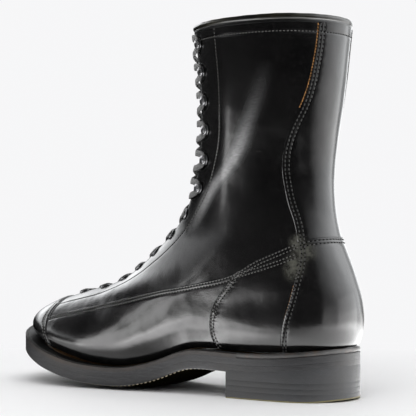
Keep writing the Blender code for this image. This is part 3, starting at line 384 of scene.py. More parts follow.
def polygon(*lines, pitch=PITCH):
    """Joins lines end to end into one closed polygon, dropping repeated ends."""
    out = []
    for line in lines:
        for place in resample(line, pitch):
            if not out or np.linalg.norm(surface(*place) - surface(*out[-1])) > 0.5:
                out.append(place)
    if np.linalg.norm(surface(*out[0]) - surface(*out[-1])) < 0.5:
        out.pop()
    out = np.array(out)
    area = np.sum(out[:, 0] * np.roll(out[:, 1], -1) - np.roll(out[:, 0], -1) * out[:, 1])
    return out if area > 0 else out[::-1]


def inside(ring, places):
    x, y = places[:, 0], places[:, 1]
    odd = np.zeros(len(places), bool)
    for (x0, y0), (x1, y1) in zip(ring, np.roll(ring, -1, 0)):
        crossed = (y0 > y) != (y1 > y)
        if y1 != y0:
            odd ^= crossed & (x < (x1 - x0) * (y - y0) / (y1 - y0) + x0)
    return odd


def triangulate(ring, inner, scale, holes=()):
    """Constrained triangles of a polygon with holes: places and counter-clockwise triples."""
    points, edges = [], []
    for loop in [ring, *holes]:
        k = len(points)
        points += [tuple(p) for p in np.asarray(loop) * scale]
        edges += [(k + i, k + (i + 1) % len(loop)) for i in range(len(loop))]
    points += [tuple(p) for p in np.asarray(inner).reshape(-1, 2) * scale]
    result = delaunay_2d_cdt(points, edges, [], 0, 1e-7)
    places = np.array([tuple(p) for p in result[0]]) / scale
    tris = np.array([f for f in result[2] if len(f) == 3])
    centres = places[tris].mean(axis=1)
    keep = inside(np.asarray(ring), centres)
    for hole in holes:
        keep &= ~inside(np.asarray(hole), centres)
    tris = tris[keep]
    a, b, c = [places[tris[:, i]] for i in range(3)]
    area = (b[:, 0] - a[:, 0]) * (c[:, 1] - a[:, 1]) - (b[:, 1] - a[:, 1]) * (c[:, 0] - a[:, 0])
    flip = area < 0
    tris[flip] = tris[flip][:, ::-1]
    tris = tris[np.abs(area) > 1e-9]
    used = np.unique(tris)
    index = np.full(len(places), -1)
    index[used] = np.arange(len(used))
    return places[used], index[tris]


def slab(top, bottom, tris):
    """Closed mesh between two copies of a triangulated sheet."""
    n = len(top)
    faces = [tuple(t) for t in tris] + [tuple(n + i for i in t[::-1]) for t in tris]
    have = {(t[i], t[(i + 1) % 3]) for t in tris for i in range(3)}
    faces += [(b, a, n + a, n + b) for a, b in have if (b, a) not in have]
    return np.concatenate([top, bottom]), faces


def grid_inside(ring, pitch, holes=()):
    """Interior places of a panel, evenly spread over the surface in staggered rows."""
    edge = points_on(np.concatenate([ring, *holes]))
    phis = np.linspace(ring[:, 0].min(), ring[:, 0].max(), 400)
    low, high = ring[:, 1].min(), ring[:, 1].max()
    rows = []
    for k, v in enumerate(np.linspace(low, high, int(round((high - low) / (pitch * 0.9))) + 2)[1:-1]):
        lengths = arc_length(surface(phis, np.full(400, v)))
        count = max(int(lengths[-1] / pitch), 1)
        stations = (np.arange(count) + (0.25 if k % 2 else 0.75)) * lengths[-1] / count
        rows.append(np.stack([np.interp(stations, lengths, phis), np.full(count, v)], 1))
    places = np.concatenate(rows)
    places = places[inside(ring, places)]
    for hole in holes:
        places = places[~inside(hole, places)]
    gaps = np.array([np.min(np.linalg.norm(edge - p, axis=1)) for p in points_on(places)])
    return places[gaps > 0.62 * pitch]


def circle_on_surface(phi, v, radius, count):
    _, by_phi, by_v, _ = surface_frame(phi, v)
    first = by_phi / np.linalg.norm(by_phi)
    second = by_v - first * (by_v @ first)
    second /= np.linalg.norm(second)
    to_mm = np.array([[by_phi @ first, by_v @ first], [by_phi @ second, by_v @ second]])
    turns = np.arange(count) * 2 * pi / count
    return np.array([[phi, v] + np.linalg.solve(to_mm, [radius * cos(t), radius * sin(t)])
                     for t in turns])


def distance(points, line):
    """Distance from each point to a polyline."""
    best = np.full(len(points), 1e9)
    for start, end in zip(line[:-1], line[1:]):
        step = end - start
        t = np.clip(((points - start) @ step) / max(step @ step, 1e-12), 0, 1)
        gap = np.linalg.norm(points - start - t[:, None] * step, axis=1)
        best = np.minimum(best, gap)
    return best


def tube_faces(count, sides):
    """Faces of an open tube of count rings, with its two ends."""
    faces = []
    for i in range(count - 1):
        for k in range(sides):
            l = (k + 1) % sides
            faces.append((i * sides + k, i * sides + l, (i + 1) * sides + l, (i + 1) * sides + k))
    faces.append(tuple(reversed(range(sides))))
    faces.append(tuple((count - 1) * sides + k for k in range(sides)))
    return faces


def outward(verts, faces):
    """Turns every face round when the closed mesh is inside out."""
    volume = 0.0
    for f in faces:
        for k in range(1, len(f) - 1):
            volume += np.dot(verts[f[0]], np.cross(verts[f[k]], verts[f[k + 1]]))
    return faces if volume > 0 else [tuple(reversed(f)) for f in faces]


def sweep(path, first_axes, second_axes, sections):
    """Sweeps one section, or one section per point, along the path."""
    sections = np.asarray(sections, float)
    sections = np.broadcast_to(sections, (len(path),) + sections.shape[-2:])
    verts = (path[:, None] + first_axes[:, None] * sections[..., :1]
             + second_axes[:, None] * sections[..., 1:]).reshape(-1, 3)
    return verts, outward(verts, tube_faces(len(path), sections.shape[1]))


# ------------------------------------------------------------------ shader nodes
DEGREES = 57.29578      # in one radian


def rgba(colour):
    return (*colour, 1) if np.ndim(colour) else (colour, colour, colour, 1)


class Nodes:
    """A node tree with short ways to add nodes; most return an output socket."""

    def __init__(self, tree):
        self.tree = tree

    def put(self, value, socket):
        """Links an output to the socket, or sets its value."""
        if hasattr(value, "is_output"):
            self.tree.links.new(value, socket)
        else:
            socket.default_value = rgba(value) if socket.type == "RGBA" else value

    def add(self, kind, inputs=None, **settings):
        node = self.tree.nodes.new("ShaderNode" + kind)
        for key, value in settings.items():
            setattr(node, key, value)
        for key, value in (inputs or {}).items():
            self.put(value, node.inputs[key])
        return node

    def coords(self, scale=(1, 1, 1)):
        place = self.add("TexCoord").outputs["Object"]
        return self.add("Mapping", {"Scale": scale, "Vector": place}).outputs["Vector"]

    def noise(self, vector, scale, detail=3.0, rough=0.55, distortion=0.0):
        return self.add("TexNoise", {"Scale": scale, "Detail": detail, "Roughness": rough,
                                     "Distortion": distortion, "Vector": vector}).outputs["Fac"]

    def ramp(self, fac, stops):
        """stops: (position, grey or colour)."""
        node = self.add("ValToRGB")
        elements = node.color_ramp.elements
        while len(elements) < len(stops):
            elements.new(0.5)
        for i, (position, colour) in enumerate(stops):
            elements[i].position = position
            elements[i].color = rgba(colour)
        self.put(fac, node.inputs["Fac"])
        return node.outputs["Color"]

    def mix(self, fac, a, b):
        return self.add("Mix", {6: a, 7: b, 0: fac}, data_type="RGBA").outputs[2]

    def maths(self, operation, a, b=0.0, c=None, clamp=False):
        inputs = {0: a, 1: b} if c is None else {0: a, 1: b, 2: c}
        return self.add("Math", inputs, operation=operation, use_clamp=clamp).outputs[0]

    def plus(self, a, b):
        return self.maths("ADD", a, b)

    def minus(self, a, b):
        return self.maths("SUBTRACT", a, b)

    def times(self, a, b):
        return self.maths("MULTIPLY", a, b)

    def bump(self, height, distance, strength, normal=None):
        inputs = {"Distance": distance, "Strength": strength, "Height": height}
        if normal is not None:
            inputs["Normal"] = normal
        return self.add("Bump", inputs).outputs["Normal"]

    def offset_from(self, position, centre):
        return self.add("VectorMath", {1: centre, 0: position}, operation="SUBTRACT").outputs[0]

    def length(self, vector):
        return self.add("VectorMath", {0: vector}, operation="LENGTH").outputs["Value"]

    def near(self, centre, inner, outer, squeeze=(1, 1, 1)):
        """1 within inner metres of a point, 0 beyond outer."""
        offset = self.offset_from(self.add("NewGeometry").outputs["Position"], centre)
        squeezed = self.add("VectorMath", {1: squeeze, 0: offset}, operation="MULTIPLY")
        return self.add("MapRange", {"From Min": inner, "From Max": outer, "To Min": 1,
                                     "To Max": 0,
                                     "Value": self.length(squeezed.outputs[0])}).outputs[0]

    def window(self, x, stops, top=1):
        """Piecewise-linear function of x through stops (x, value), values up to top."""
        low, high = stops[0][0], stops[-1][0]
        share = self.add("MapRange", {"From Min": low, "From Max": high, "Value": x}).outputs[0]
        grey = self.ramp(share, [((p - low) / (high - low), value / top) for p, value in stops])
        return self.times(grey, top)

    def azimuth(self, x, y, zero):
        """Azimuth in degrees measured from the direction zero, -180..180."""
        c, s = cos(radians(zero)), sin(radians(zero))
        ahead = self.plus(self.times(x, c), self.times(y, s))
        aside = self.minus(self.times(y, c), self.times(x, s))
        return self.times(self.maths("ARCTAN2", aside, ahead), DEGREES)

    def mix_shader(self, fac, a, b):
        return self.add("MixShader", {0: fac, 1: a, 2: b}).outputs[0]


class Material(Nodes):
    def __init__(self, name):
        self.data = bpy.data.materials.new(name)
        self.data.use_nodes = True
        super().__init__(self.data.node_tree)
        self.bsdf = self.tree.nodes["Principled BSDF"]

    def finish(self, inputs):
        """Sets the Principled inputs and returns the Blender material."""
        for key, value in inputs.items():
            self.put(value, self.bsdf.inputs[key])
        return self.data


# ------------------------------------------------------------------ materials
# painted highlight: a light grey band mixed into the colour along a line running down and forward
# over the lateral ankle, in place of a soft box's reflection: height z, y, strength of the painted
# highlight
HIGHLIGHT_LINE = [(118, -82, 0), (132, -74, .30), (140, -69, .52), (148, -63, .60), (155, -56, .56),
          (161, -48, .56), (168, -41, .60), (176, -35, .58), (184, -30, .48), (194, -25, .28),
          (206, -19, .15), (216, -14, .08), (228, -9, .03), (240, -5, 0)]
# strength of the painted highlight over the distance in y from its line
HIGHLIGHT_BAND = [(-13, 0), (-9, .12), (-5.5, .55), (-2.5, .95), (0, 1), (2.5, .8), (5, .35),
               (8, .08), (11, 0)]
HIGHLIGHT_SHIFT = 100      # added to y so that the ramp holds no negative value


def side_point(y, z):
    """Point in metres on the lateral side, from side view."""
    return tuple(surface(*from_side_view([(y, z)])[0]) / 1000)


# scuffed patches beside the heel seams: centre, inner and outer radius (m), squeeze
WORN = [(side_point(15.2, 104.4), .001, .012, (1, 1, 1.3)),
        (side_point(9.4, 93.9), .002, .013, (1, 1.2, 1)),
        (tuple(surface(*LONG_SEAM[-1]) / 1000), .001, .008, (1, 1, 1))]


def add_scuffs(m, vector, base, rough):
    for centre, inner, outer, squeeze in WORN:
        scuff = m.maths("POWER", m.near(centre, inner, outer, squeeze), 1.6)
        scuff = m.times(scuff, m.ramp(m.noise(vector, 260, detail=5, rough=.7),
                                      [(.34, 0.18), (.66, 1.0)]))
        base = m.mix(m.times(scuff, .62), base, (0.215, 0.215, 0.175))
        rough = m.maths("ADD", rough, m.times(scuff, .20), clamp=True)
    return base, rough


def add_painted_highlight(m, base):
    """Painted highlight: light grey mixed into the colour along the ankle, on the lateral side only,
    in place of a soft box's reflection.
    """
    place = m.add("SeparateXYZ", {0: m.add("NewGeometry").outputs["Position"]}).outputs
    z_mm = m.times(place[2], 1000)
    y_mm = m.times(place[1], 1000)
    highlight_line_y = m.window(z_mm, [(z, (y + HIGHLIGHT_SHIFT) / HIGHLIGHT_SHIFT) for z, y, _ in HIGHLIGHT_LINE])
    off = m.minus(m.plus(y_mm, HIGHLIGHT_SHIFT), m.times(highlight_line_y, HIGHLIGHT_SHIFT))
    band = m.window(off, HIGHLIGHT_BAND)
    painted_highlight = m.times(band, m.window(z_mm, [(z, strength) for z, _, strength in HIGHLIGHT_LINE]))
    painted_highlight = m.times(painted_highlight, m.maths("GREATER_THAN", place[0], .005))
    # fine streaks across the painted highlight
    brushed = m.ramp(m.noise(m.coords((1, .25, 1)), 900, detail=3, rough=.6),
                     [(.3, .62), (.7, 1.0)])
    # mixes the painted highlight's light grey into the colour
    return m.mix(m.times(m.times(painted_highlight, brushed), .9), base, (.66, .66, .665))


def polished(name, dull=0.0, wear_and_highlight=True, warm=0.0):
    """Black calf: fine pores, wax haze, hairline scratches, and on the upper wear and a painted
    highlight.
    """
    m = Material(name)
    vector = m.coords()
    haze = m.noise(vector, 26, detail=4, rough=.6)
    fine = m.noise(vector, 420, detail=3, rough=.6)
    base = m.mix(m.ramp(haze, [(.35, 0.0), (.72, 1.0)]), (0.0030, 0.0029, 0.0030),
                 (0.0078 + warm, 0.0074 + warm * .8, 0.0075))
    base = m.mix(m.ramp(fine, [(.55, 0.0), (.8, 1.0)]), base, (0.013, 0.0124, 0.0122))
    rough = m.maths("MULTIPLY_ADD", haze, .10, .165 + dull)
    hair = m.ramp(m.noise(m.coords((1, .18, .9)), 620, detail=2, rough=.5, distortion=.8),
                  [(.67, 0.0), (.70, 1.0)])
    hair_mask = m.ramp(m.noise(vector, 34, detail=2), [(.52, 0.0), (.66, 1.0)])
    base = m.mix(m.times(m.times(hair, hair_mask), .35), base, (0.06, 0.058, 0.055))
    if wear_and_highlight:
        base, rough = add_scuffs(m, vector, base, rough)
        # painted highlight on the lateral ankle, in place of a soft box's reflection
        base = add_painted_highlight(m, base)
    wave = m.noise(vector, 40, detail=2, rough=.5)
    normal = m.bump(wave, distance=.0022, strength=.32)
    pores = m.add("TexVoronoi", {"Scale": 1500, "Vector": vector}).outputs["Distance"]
    normal = m.bump(pores, distance=.00008, strength=.28, normal=normal)
    normal = m.bump(fine, distance=.00010, strength=.35, normal=normal)
    return m.finish({"Base Color": base, "Roughness": rough, "Specular IOR Level": .62,
                     "Coat Weight": .30, "Coat Roughness": .10 + dull, "Normal": normal})


def fibre(name, dark, light, scale, rough, big, bump_mm=.15, contrast=(.3, .7), spec=.3):
    """Fibrous or grained natural material; big is the scale of its blotches."""
    m = Material(name)
    vector = m.coords()
    grain = m.noise(vector, scale, detail=5, rough=.7)
    blotch = m.noise(vector, big, detail=3, rough=.6)
    base = m.mix(m.ramp(blotch, [(contrast[0], 0.0), (contrast[1], 1.0)]), dark, light)
    base = m.mix(m.ramp(grain, [(.35, 0.0), (.75, .55)]), base, tuple(np.array(light) * 1.25))
    roughness = m.maths("MULTIPLY_ADD", grain, .2, rough - .1)
    height = m.plus(grain, m.times(blotch, .6))
    return m.finish({"Base Color": base, "Roughness": roughness, "Specular IOR Level": spec,
                     "Normal": m.bump(height, distance=bump_mm / 1000, strength=.6)})


def thread(name, dark, light, rough, spec=.5):
    """Waxed plied thread."""
    m = Material(name)
    plies = m.noise(m.coords((1, 1.6, 2.1)), 2400, detail=2, rough=.6)
    return m.finish({"Base Color": m.mix(m.ramp(plies, [(.35, 0.0), (.7, 1.0)]), dark, light),
                     "Roughness": rough, "Specular IOR Level": spec,
                     "Normal": m.bump(plies, distance=.00012, strength=.7)})


def woven(name):
    """Flat braided lace: UV x runs along it, y across it, both in millimetres."""
    m = Material(name)
    uv = m.add("UVMap", uv_map="UVMap").outputs["UV"]
    strands = []
    for lean in (38, -38):
        turned = m.add("Mapping", {"Rotation": (0, 0, radians(lean)), "Vector": uv})
        wave = m.add("TexWave", {"Scale": .42, "Distortion": .5,
                                 "Vector": turned.outputs["Vector"]})
        strands.append(wave.outputs["Fac"])
    weave = m.maths("MAXIMUM", *strands)
    fuzz = m.noise(m.coords(), 2600, detail=3, rough=.7)
    height = m.plus(weave, m.times(fuzz, .5))
    base = m.mix(m.ramp(height, [(.55, 0.0), (1.25 / 1.5, 1.0)]), (0.009, 0.009, 0.0095),
                 (0.072, 0.071, 0.070))
    return m.finish({"Base Color": base, "Roughness": .5, "Specular IOR Level": .6,
                     "Sheen Weight": .5, "Sheen Roughness": .4,
                     "Normal": m.bump(height, distance=.00035, strength=.8)})


def burnished(name, dark, light, dirt, streak, rough, big=30, spec=.5, coat=.15):
    """Inked leather edge: level streaks, and blotches of dirt where the ink has worn."""
    m = Material(name)
    streaks = m.noise(m.coords((1, 1, streak)), 90, detail=5, rough=.72)
    fine = m.noise(m.coords((1, 1, 3.2)), 520, detail=3, rough=.7)
    blotch = m.noise(m.coords(), big, detail=3, rough=.6)
    base = m.mix(m.ramp(streaks, [(.32, 0.0), (.68, 1.0)]), dark, light)
    base = m.mix(m.ramp(fine, [(.58, 0.0), (.72, .8)]), base, tuple(np.array(light) * 1.7))
    base = m.mix(m.ramp(blotch, [(.50, 0.0), (.68, .75)]), base, dirt)
    roughness = m.maths("MULTIPLY_ADD", fine, .28, rough - .12)
    height = m.plus(m.times(streaks, .15), fine)
    return m.finish({"Base Color": base, "Roughness": roughness, "Specular IOR Level": spec,
                     "Coat Weight": coat, "Coat Roughness": .35,
                     "Normal": m.bump(height, distance=.00032, strength=.7)})


def darken_top_dye_and_shade(material):
    """Darkens upward-facing parts to near black, partly the welt's dye and partly painted shade of
    the crevice under the upper; the cut edge keeps its own colour.
    """
    m = Nodes(material.node_tree)
    base = material.node_tree.nodes["Principled BSDF"].inputs["Base Color"]
    edge_colour = base.links[0].from_socket
    normal = m.add("SeparateXYZ", {0: m.add("NewGeometry").outputs["Normal"]}).outputs
    up = m.ramp(normal[2], [(.30, 0.0), (.60, 1.0)])
    # near black on upward faces: dye, and painted shade of the crevice
    m.put(m.mix(up, edge_colour, (.004, .0038, .0035)), base)
    return material


def metal(name, colour):
    m = Material(name)
    brushed = m.noise(m.coords((1, .1, 1)), 900, detail=3, rough=.6)
    return m.finish({"Base Color": m.mix(brushed, tuple(np.array(colour) * .8), colour),
                     "Metallic": 1, "Roughness": m.ramp(brushed, [(.3, .25), (.7, .50)]),
                     "Normal": m.bump(brushed, distance=.00005, strength=.5)})


CALF = polished("black_calf")
CALF_DULL = polished("black_calf_tongue", dull=.16, wear_and_highlight=False)
BINDING = polished("binding_calf", dull=.10, wear_and_highlight=False, warm=.012)
RAW = fibre("raw_cut_edge", (0.12, 0.055, 0.018), (0.52, 0.25, 0.085), scale=1500, rough=.7,
            big=300, contrast=(.4, .6))
FLESH = fibre("flesh_side", (0.10, 0.065, 0.04), (0.17, 0.11, 0.07), scale=1500, rough=.85,
              big=120)
LINING = fibre("tan_lining", (0.42, 0.26, 0.14), (0.56, 0.37, 0.22), scale=1100, rough=.55,
               big=28, bump_mm=.10, spec=.4)
BOARD = fibre("leatherboard_fibre", (0.22, 0.13, 0.07), (0.36, 0.24, 0.14), scale=1300,
              rough=.85, big=90)
CORK = fibre("cork_grain", (0.16, 0.08, 0.035), (0.42, 0.26, 0.13), scale=420, rough=.9,
             big=240, bump_mm=.4)
GREY_THREAD = thread("grey_waxed_thread", (0.070, 0.069, 0.066), (0.20, 0.195, 0.187),
                     rough=.55, spec=.25)
BLACK_THREAD = thread("black_waxed_thread", (0.022, 0.022, 0.022), (0.085, 0.083, 0.080),
                      rough=.38)
CREAM_THREAD = thread("cream_linen_thread", (0.50, 0.40, 0.24), (0.85, 0.76, 0.56), rough=.6)
BROWN_THREAD = thread("stained_linen_thread", (0.13, 0.08, 0.045), (0.34, 0.23, 0.13),
                      rough=.6)
METAL = metal("gunmetal_hardware", (0.36, 0.36, 0.37))
LACE = woven("waxed_lace")
RAND = burnished("heel_rand_edge", (0.010, 0.010, 0.010), (0.048, 0.046, 0.045),
                 dirt=(0.060, 0.036, 0.022), streak=3, rough=.45, big=160)
EDGE = burnished("inked_sole_edge", (0.013, 0.013, 0.0142), (0.034, 0.034, 0.036),
                 dirt=(0.028, 0.026, 0.025), streak=8, rough=.42, spec=.32, coat=.04)
HEEL = burnished("inked_heel_stack", (0.0275, 0.028, 0.0298), (0.034, 0.035, 0.0375),
                 dirt=(0.028, 0.0275, 0.0275), streak=60, rough=.52, spec=.40, coat=.03)
# welt: inked edge; its top darkened by dye and painted shade
WELT = darken_top_dye_and_shade(burnished("welt_edge_inked", (0.014, 0.012, 0.011), (0.034, 0.029, 0.027),
                         dirt=(0.040, 0.026, 0.018), streak=8, rough=.40, spec=.34, coat=.05))
LIFT = burnished("top_lift_edge", (0.10, 0.088, 0.040), (0.22, 0.19, 0.085),
                 dirt=(0.15, 0.13, 0.06), streak=8, rough=.6, coat=.0)
# painted shade: near-black matte discs laid between the stitches, for the dark of the needle holes
HOLE_SHADE = fibre("needle_hole_painted_shade", (0.0012, 0.0012, 0.0012), (0.003, 0.003, 0.003), scale=1500,
             rough=.95, big=300, spec=.05)
# tread: its mottle is wear; its near-black colour is painted shade of the sole's underside
SHADED_TREAD = fibre("worn_tread_painted_shade", (0.0022, 0.0020, 0.0010), (0.007, 0.006, 0.003), scale=700,
              rough=.85, big=42, contrast=(.35, .65), bump_mm=.25, spec=.0)
STEEL = metal("spring_steel", (0.45, 0.45, 0.47))


# ------------------------------------------------------------------ meshes
def shade(mesh, angle):
    mesh.shade_smooth()
    if angle:
        mesh.set_sharp_from_angle(angle=radians(angle))


def make(name, verts_mm, faces, materials, index=None, smooth=True, angle=None, uv=None):
    """An object in the scene; edges sharper than angle degrees stay sharp."""
    mesh = bpy.data.meshes.new(name)
    mesh.from_pydata((np.asarray(verts_mm, float) / 1000).tolist(), [],
                     [tuple(int(i) for i in f) for f in faces])
    for material in materials:
        mesh.materials.append(material)
    if index is not None:
        mesh.polygons.foreach_set("material_index", np.asarray(index, np.int32))
    if uv is not None:
        layer = mesh.uv_layers.new(name="UVMap")
        corners = np.empty(len(mesh.loops), np.int32)
        mesh.loops.foreach_get("vertex_index", corners)
        layer.data.foreach_set("uv", np.asarray(uv, float)[corners].ravel())
    if smooth:
        shade(mesh, angle)
    obj = bpy.data.objects.new(name, mesh)
    bpy.context.scene.collection.objects.link(obj)
    return obj


def bend(obj):
    """Bakes the object's placement into its mesh."""
    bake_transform(obj)


def level_at(level, line):
    """A level is a number or a function of (phi, v) rows."""
    return level(line) if callable(level) else level


def ripple(points):
    """Slow unevenness of lasted leather, shared by every piece of the upper."""
    out = np.empty(len(points))
    for i, p in enumerate(points):
        q = Vector((p[0] / 34, p[1] / 30, p[2] / 42))
        out[i] = .34 * noise.noise(q) + .13 * noise.noise(q * 2.7)
    return out


# ------------------------------------------------------------------ panels of the upper
# edge profiles: distances from the edge, and the height there
FOLDED = ([0, .10, .35, .75, 1.2], [-.75, -.34, -.10, -.01, 0])
CUT = ([0, .08, .62, 1.0], [-.95, -.70, -.04, 0])
FLUSH = ([0, .3, .8, 1.3], [-.34, -.14, -.03, 0])
GROOVE_DEPTH, GROOVE_WIDTH = .26, .42       # channel under each row of stitches
# outer face of each panel above the surface
QUARTER_LEVEL, VAMP_LEVEL, FOXING_LEVEL = 0.0, .6, 1.0
STAY_LEVEL, COUNTER_LEVEL, CAP_LEVEL = .9, 1.5, 1.25


def panel_height(places, level, edges, rows):
    """How far the outer face of a panel stands off the surface."""
    points = points_on(places)
    out = np.full(len(places), float(level)) + ripple(points)
    for line, _, (distances, heights) in edges:
        out += np.interp(distance(points, points_along(line)), distances, heights)
    for line in rows:
        gap = distance(points, points_along(line))
        out -= GROOVE_DEPTH * np.exp(-(gap / GROOVE_WIDTH) ** 2)
    at_foot = np.clip(1 - places[:, 1] / 5.0, 0, 1)
    return out - 2.1 * at_foot ** 2


def panel_places(ring, holes, pitch, lines):
    """Interior places: an even grid, with samples along the given lines."""
    grid = grid_inside(ring, pitch, holes)
    extra = []
    for line in lines:
        samples = resample(line, 2.1)
        samples = samples[inside(ring, samples)]
        for hole in holes:
            samples = samples[~inside(hole, samples)]
        extra.append(samples)
    extra = np.concatenate(extra)
    edge = points_along(closed(ring), 1.0)
    extra = extra[distance(points_on(extra), edge) > .07]
    extra_points = points_on(extra)
    gaps = np.array([np.min(np.sum((extra_points - g) ** 2, axis=1)) for g in points_on(grid)])
    return np.concatenate([grid[gaps > (0.5 * pitch) ** 2], extra])


def leather_panel(name, node, parts, level, edges, rows, holes=(), pitch=3.4, raw=(),
                  flip=False):
    """One cut piece of the upper, with turned or cut edges and stitch channels.

    parts: the lines round it; edges: (line, side, profile); rows: lines of stitching;
    raw: edges that show the tan core of the leather; flip: build it on the medial side.
    """
    ring = polygon(*parts, pitch=2.2)
    lines = [sideways(line, side * d) for line, side, (distances, _) in edges
             for d in distances[1:]]
    for line in rows:
        lines += [sideways(line, -.55), line, sideways(line, .55)]
    for hole in holes:
        centre = hole.mean(axis=0)
        lines += [centre + (hole - centre) * 1.35, centre + (hole - centre) * 1.7]
    places, tris = triangulate(ring, panel_places(ring, holes, pitch, lines), SHEET_SCALE,
                               holes)
    outer = panel_height(places, level, edges, rows)
    inner = np.minimum(outer - .5, -LEATHER_T)
    count = len(tris)
    core = np.full(count, 9.0)
    middles = points_on(places[tris].mean(axis=1))
    for line in raw:
        core = np.minimum(core, distance(middles, points_along(line, 1.0)))
    if flip:
        places = other_side(places)
        tris = tris[:, ::-1]
    points, _, _, normal = surface_frame(*places.T)
    verts, faces = slab(points + normal * outer[:, None], points + normal * inner[:, None],
                        tris)
    index = np.zeros(len(faces), int)
    index[count:2 * count] = 1
    index[:count][core < .40] = 2
    obj = make(name, verts, faces, [CALF, FLESH, RAW], index, angle=50)
    bend(obj)
    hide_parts(node)


def panel_pair(name, parts, level, **details):
    for side, flip in (("lateral", False), ("medial", True)):
        leather_panel("upper_%s_%s" % (name, side), "%s_%s" % (name, side), parts, level,
                      flip=flip, **details)


def bare(line, low, high):
    """The part of a cut edge between two heights, where the dye has worn off."""
    z = points_on(line)[:, 2]
    return line[(z > low) & (z < high)]


# rows of stitches
LONG_ROWS = [sideways(LONG_SEAM, -1.5), sideways(LONG_SEAM, -3.9)]
FOXING_ROWS = [sideways(FOXING_SEAM, 1.5), sideways(FOXING_SEAM, 3.7)]
COUNTER_ROWS = [sideways(COUNTER_SEAM, 2.2), sideways(COUNTER_SEAM, 4.6)]
STAY_ROWS = [sideways(STAY_SEAM, 2.6), sideways(STAY_SEAM, 5.4)]
SEAT_ROWS = [sideways(BACK_SEAM, -2.0), sideways(BACK_SEAM, -4.6)]
CAP_ROWS = [sideways(CAP_ALL, -1.8), sideways(CAP_ALL, -4.2)]
fork = seam([(-36, 86.9), (-19.3, 91.5), (-3.7, 96.4), (10.0, 101.6)])
FORK_ROWS = [sideways(fork, 1.2), sideways(fork, -1.2)]
TOP_ROW = level_line(V_TOP_STITCH, past_throat(V_TOP_STITCH, 2.5), STAY_SEAM[0, 0] + .02, 200)
STAY_TOP_ROW = level_line(V_TOP_STITCH, STAY_SEAM[0, 0] + .05,
                          2 * pi - STAY_SEAM[0, 0] - .05, 120)
THROAT_ROW = throat(2.6, V_THROAT_END + 3, V_TOP - 3, 120)

panel_pair("quarter", [LONG_FRONT, LONG_REAR, STAY_SEAM[::-1],
                       level_line(V_TOP, STAY_SEAM[0, 0], FACING_SEAM[0, 0]), FACING_SEAM,
                       CAP_QUARTER],
           QUARTER_LEVEL, edges=[(FACING_SEAM, 1, FLUSH)], rows=[TOP_ROW])
panel_pair("facing", [FACING_SEAM[::-1],
                      level_line(V_TOP, FACING_SEAM[0, 0], THROAT_EDGE[-1, 0]),
                      THROAT_EDGE[::-1], np.array([[0, V_THROAT_END], [0, V_CAP]]), CAP_FACING],
           QUARTER_LEVEL, edges=[(FACING_SEAM, -1, FLUSH), (THROAT_EDGE, -1, FOLDED)],
           rows=[TOP_ROW, THROAT_ROW],
           holes=[circle_on_surface(phi, v, 2.3, 16) for phi, v in eyelets])
panel_pair("vamp", [CAP_VAMP, level_line(0, CAP_SEAM[-1, 0], FOXING_SEAM[-1, 0]),
                    FOXING_SEAM[::-1], LONG_FRONT[::-1]],
           VAMP_LEVEL, edges=[(LONG_FRONT, -1, FOLDED)], rows=LONG_ROWS)
panel_pair("foxing", [FOXING_SEAM, level_line(0, FOXING_SEAM[-1, 0], COUNTER_SEAM[-1, 0]),
                      COUNTER_SEAM[::-1], LONG_REAR[::-1]],
           FOXING_LEVEL, edges=[(LONG_REAR, -1, FOLDED), (FOXING_SEAM, 1, FOLDED)],
           rows=LONG_ROWS + FOXING_ROWS + FORK_ROWS)
bare_counter = bare(COUNTER_SEAM, 58, 82)
leather_panel("upper_counter", "heel_counter_cover",
              [COUNTER_SEAM,
               level_line(0, COUNTER_SEAM[-1, 0], 2 * pi - COUNTER_SEAM[-1, 0], 200),
               across(COUNTER_SEAM), BACK_SEAM[::-1]],
              COUNTER_LEVEL,
              edges=[(COUNTER_SEAM, 1, CUT), (across(COUNTER_SEAM), 1, CUT),
                     (BACK_SEAM, -1, FOLDED)],
              rows=COUNTER_ROWS + [across(row) for row in COUNTER_ROWS] + SEAT_ROWS,
              raw=[bare_counter, across(bare_counter)])
bare_stay = bare(STAY_SEAM, 205, 300)
leather_panel("upper_backstay", "backstay",
              [BACK_SEAM, across(STAY_SEAM),
               level_line(V_TOP, 2 * pi - STAY_SEAM[0, 0], STAY_SEAM[0, 0]), STAY_SEAM],
              STAY_LEVEL, edges=[(STAY_SEAM, 1, CUT), (across(STAY_SEAM), 1, CUT)],
              rows=STAY_ROWS + [across(row) for row in STAY_ROWS] + [STAY_TOP_ROW],
              raw=[bare_stay, across(bare_stay)])
leather_panel("upper_toe_cap", "toe_cap",
              [CAP_VAMP[::-1], CAP_QUARTER[::-1], CAP_FACING[::-1], other_side(CAP_FACING),
               other_side(CAP_QUARTER), other_side(CAP_VAMP),
               level_line(0, -CAP_SEAM[-1, 0], CAP_SEAM[-1, 0])],
              CAP_LEVEL, edges=[(CAP_ALL, -1, FOLDED)], rows=CAP_ROWS, pitch=2.8)

# ------------------------------------------------------------------ stitching
# stitch sizes: length, half width, half height
FINE_STITCH, SEAT_STITCH = (2.15, .36, .30), (2.1, .36, .30)
GREY_STITCH, HEAVY_STITCH = (1.75, .42, .34), (2.15, .46, .36)
# the hole sizes are for near-black discs of painted shade at the needle holes
GREY_HOLE, HEAVY_HOLE, TOP_HOLE = (1.1, .52, .16), (1.15, .52, .26), (1.0, .45, .2)
STITCH_RINGS = ((-.82, .72), (-.4, 1), (.4, 1), (.82, .72))     # share of half length, girth


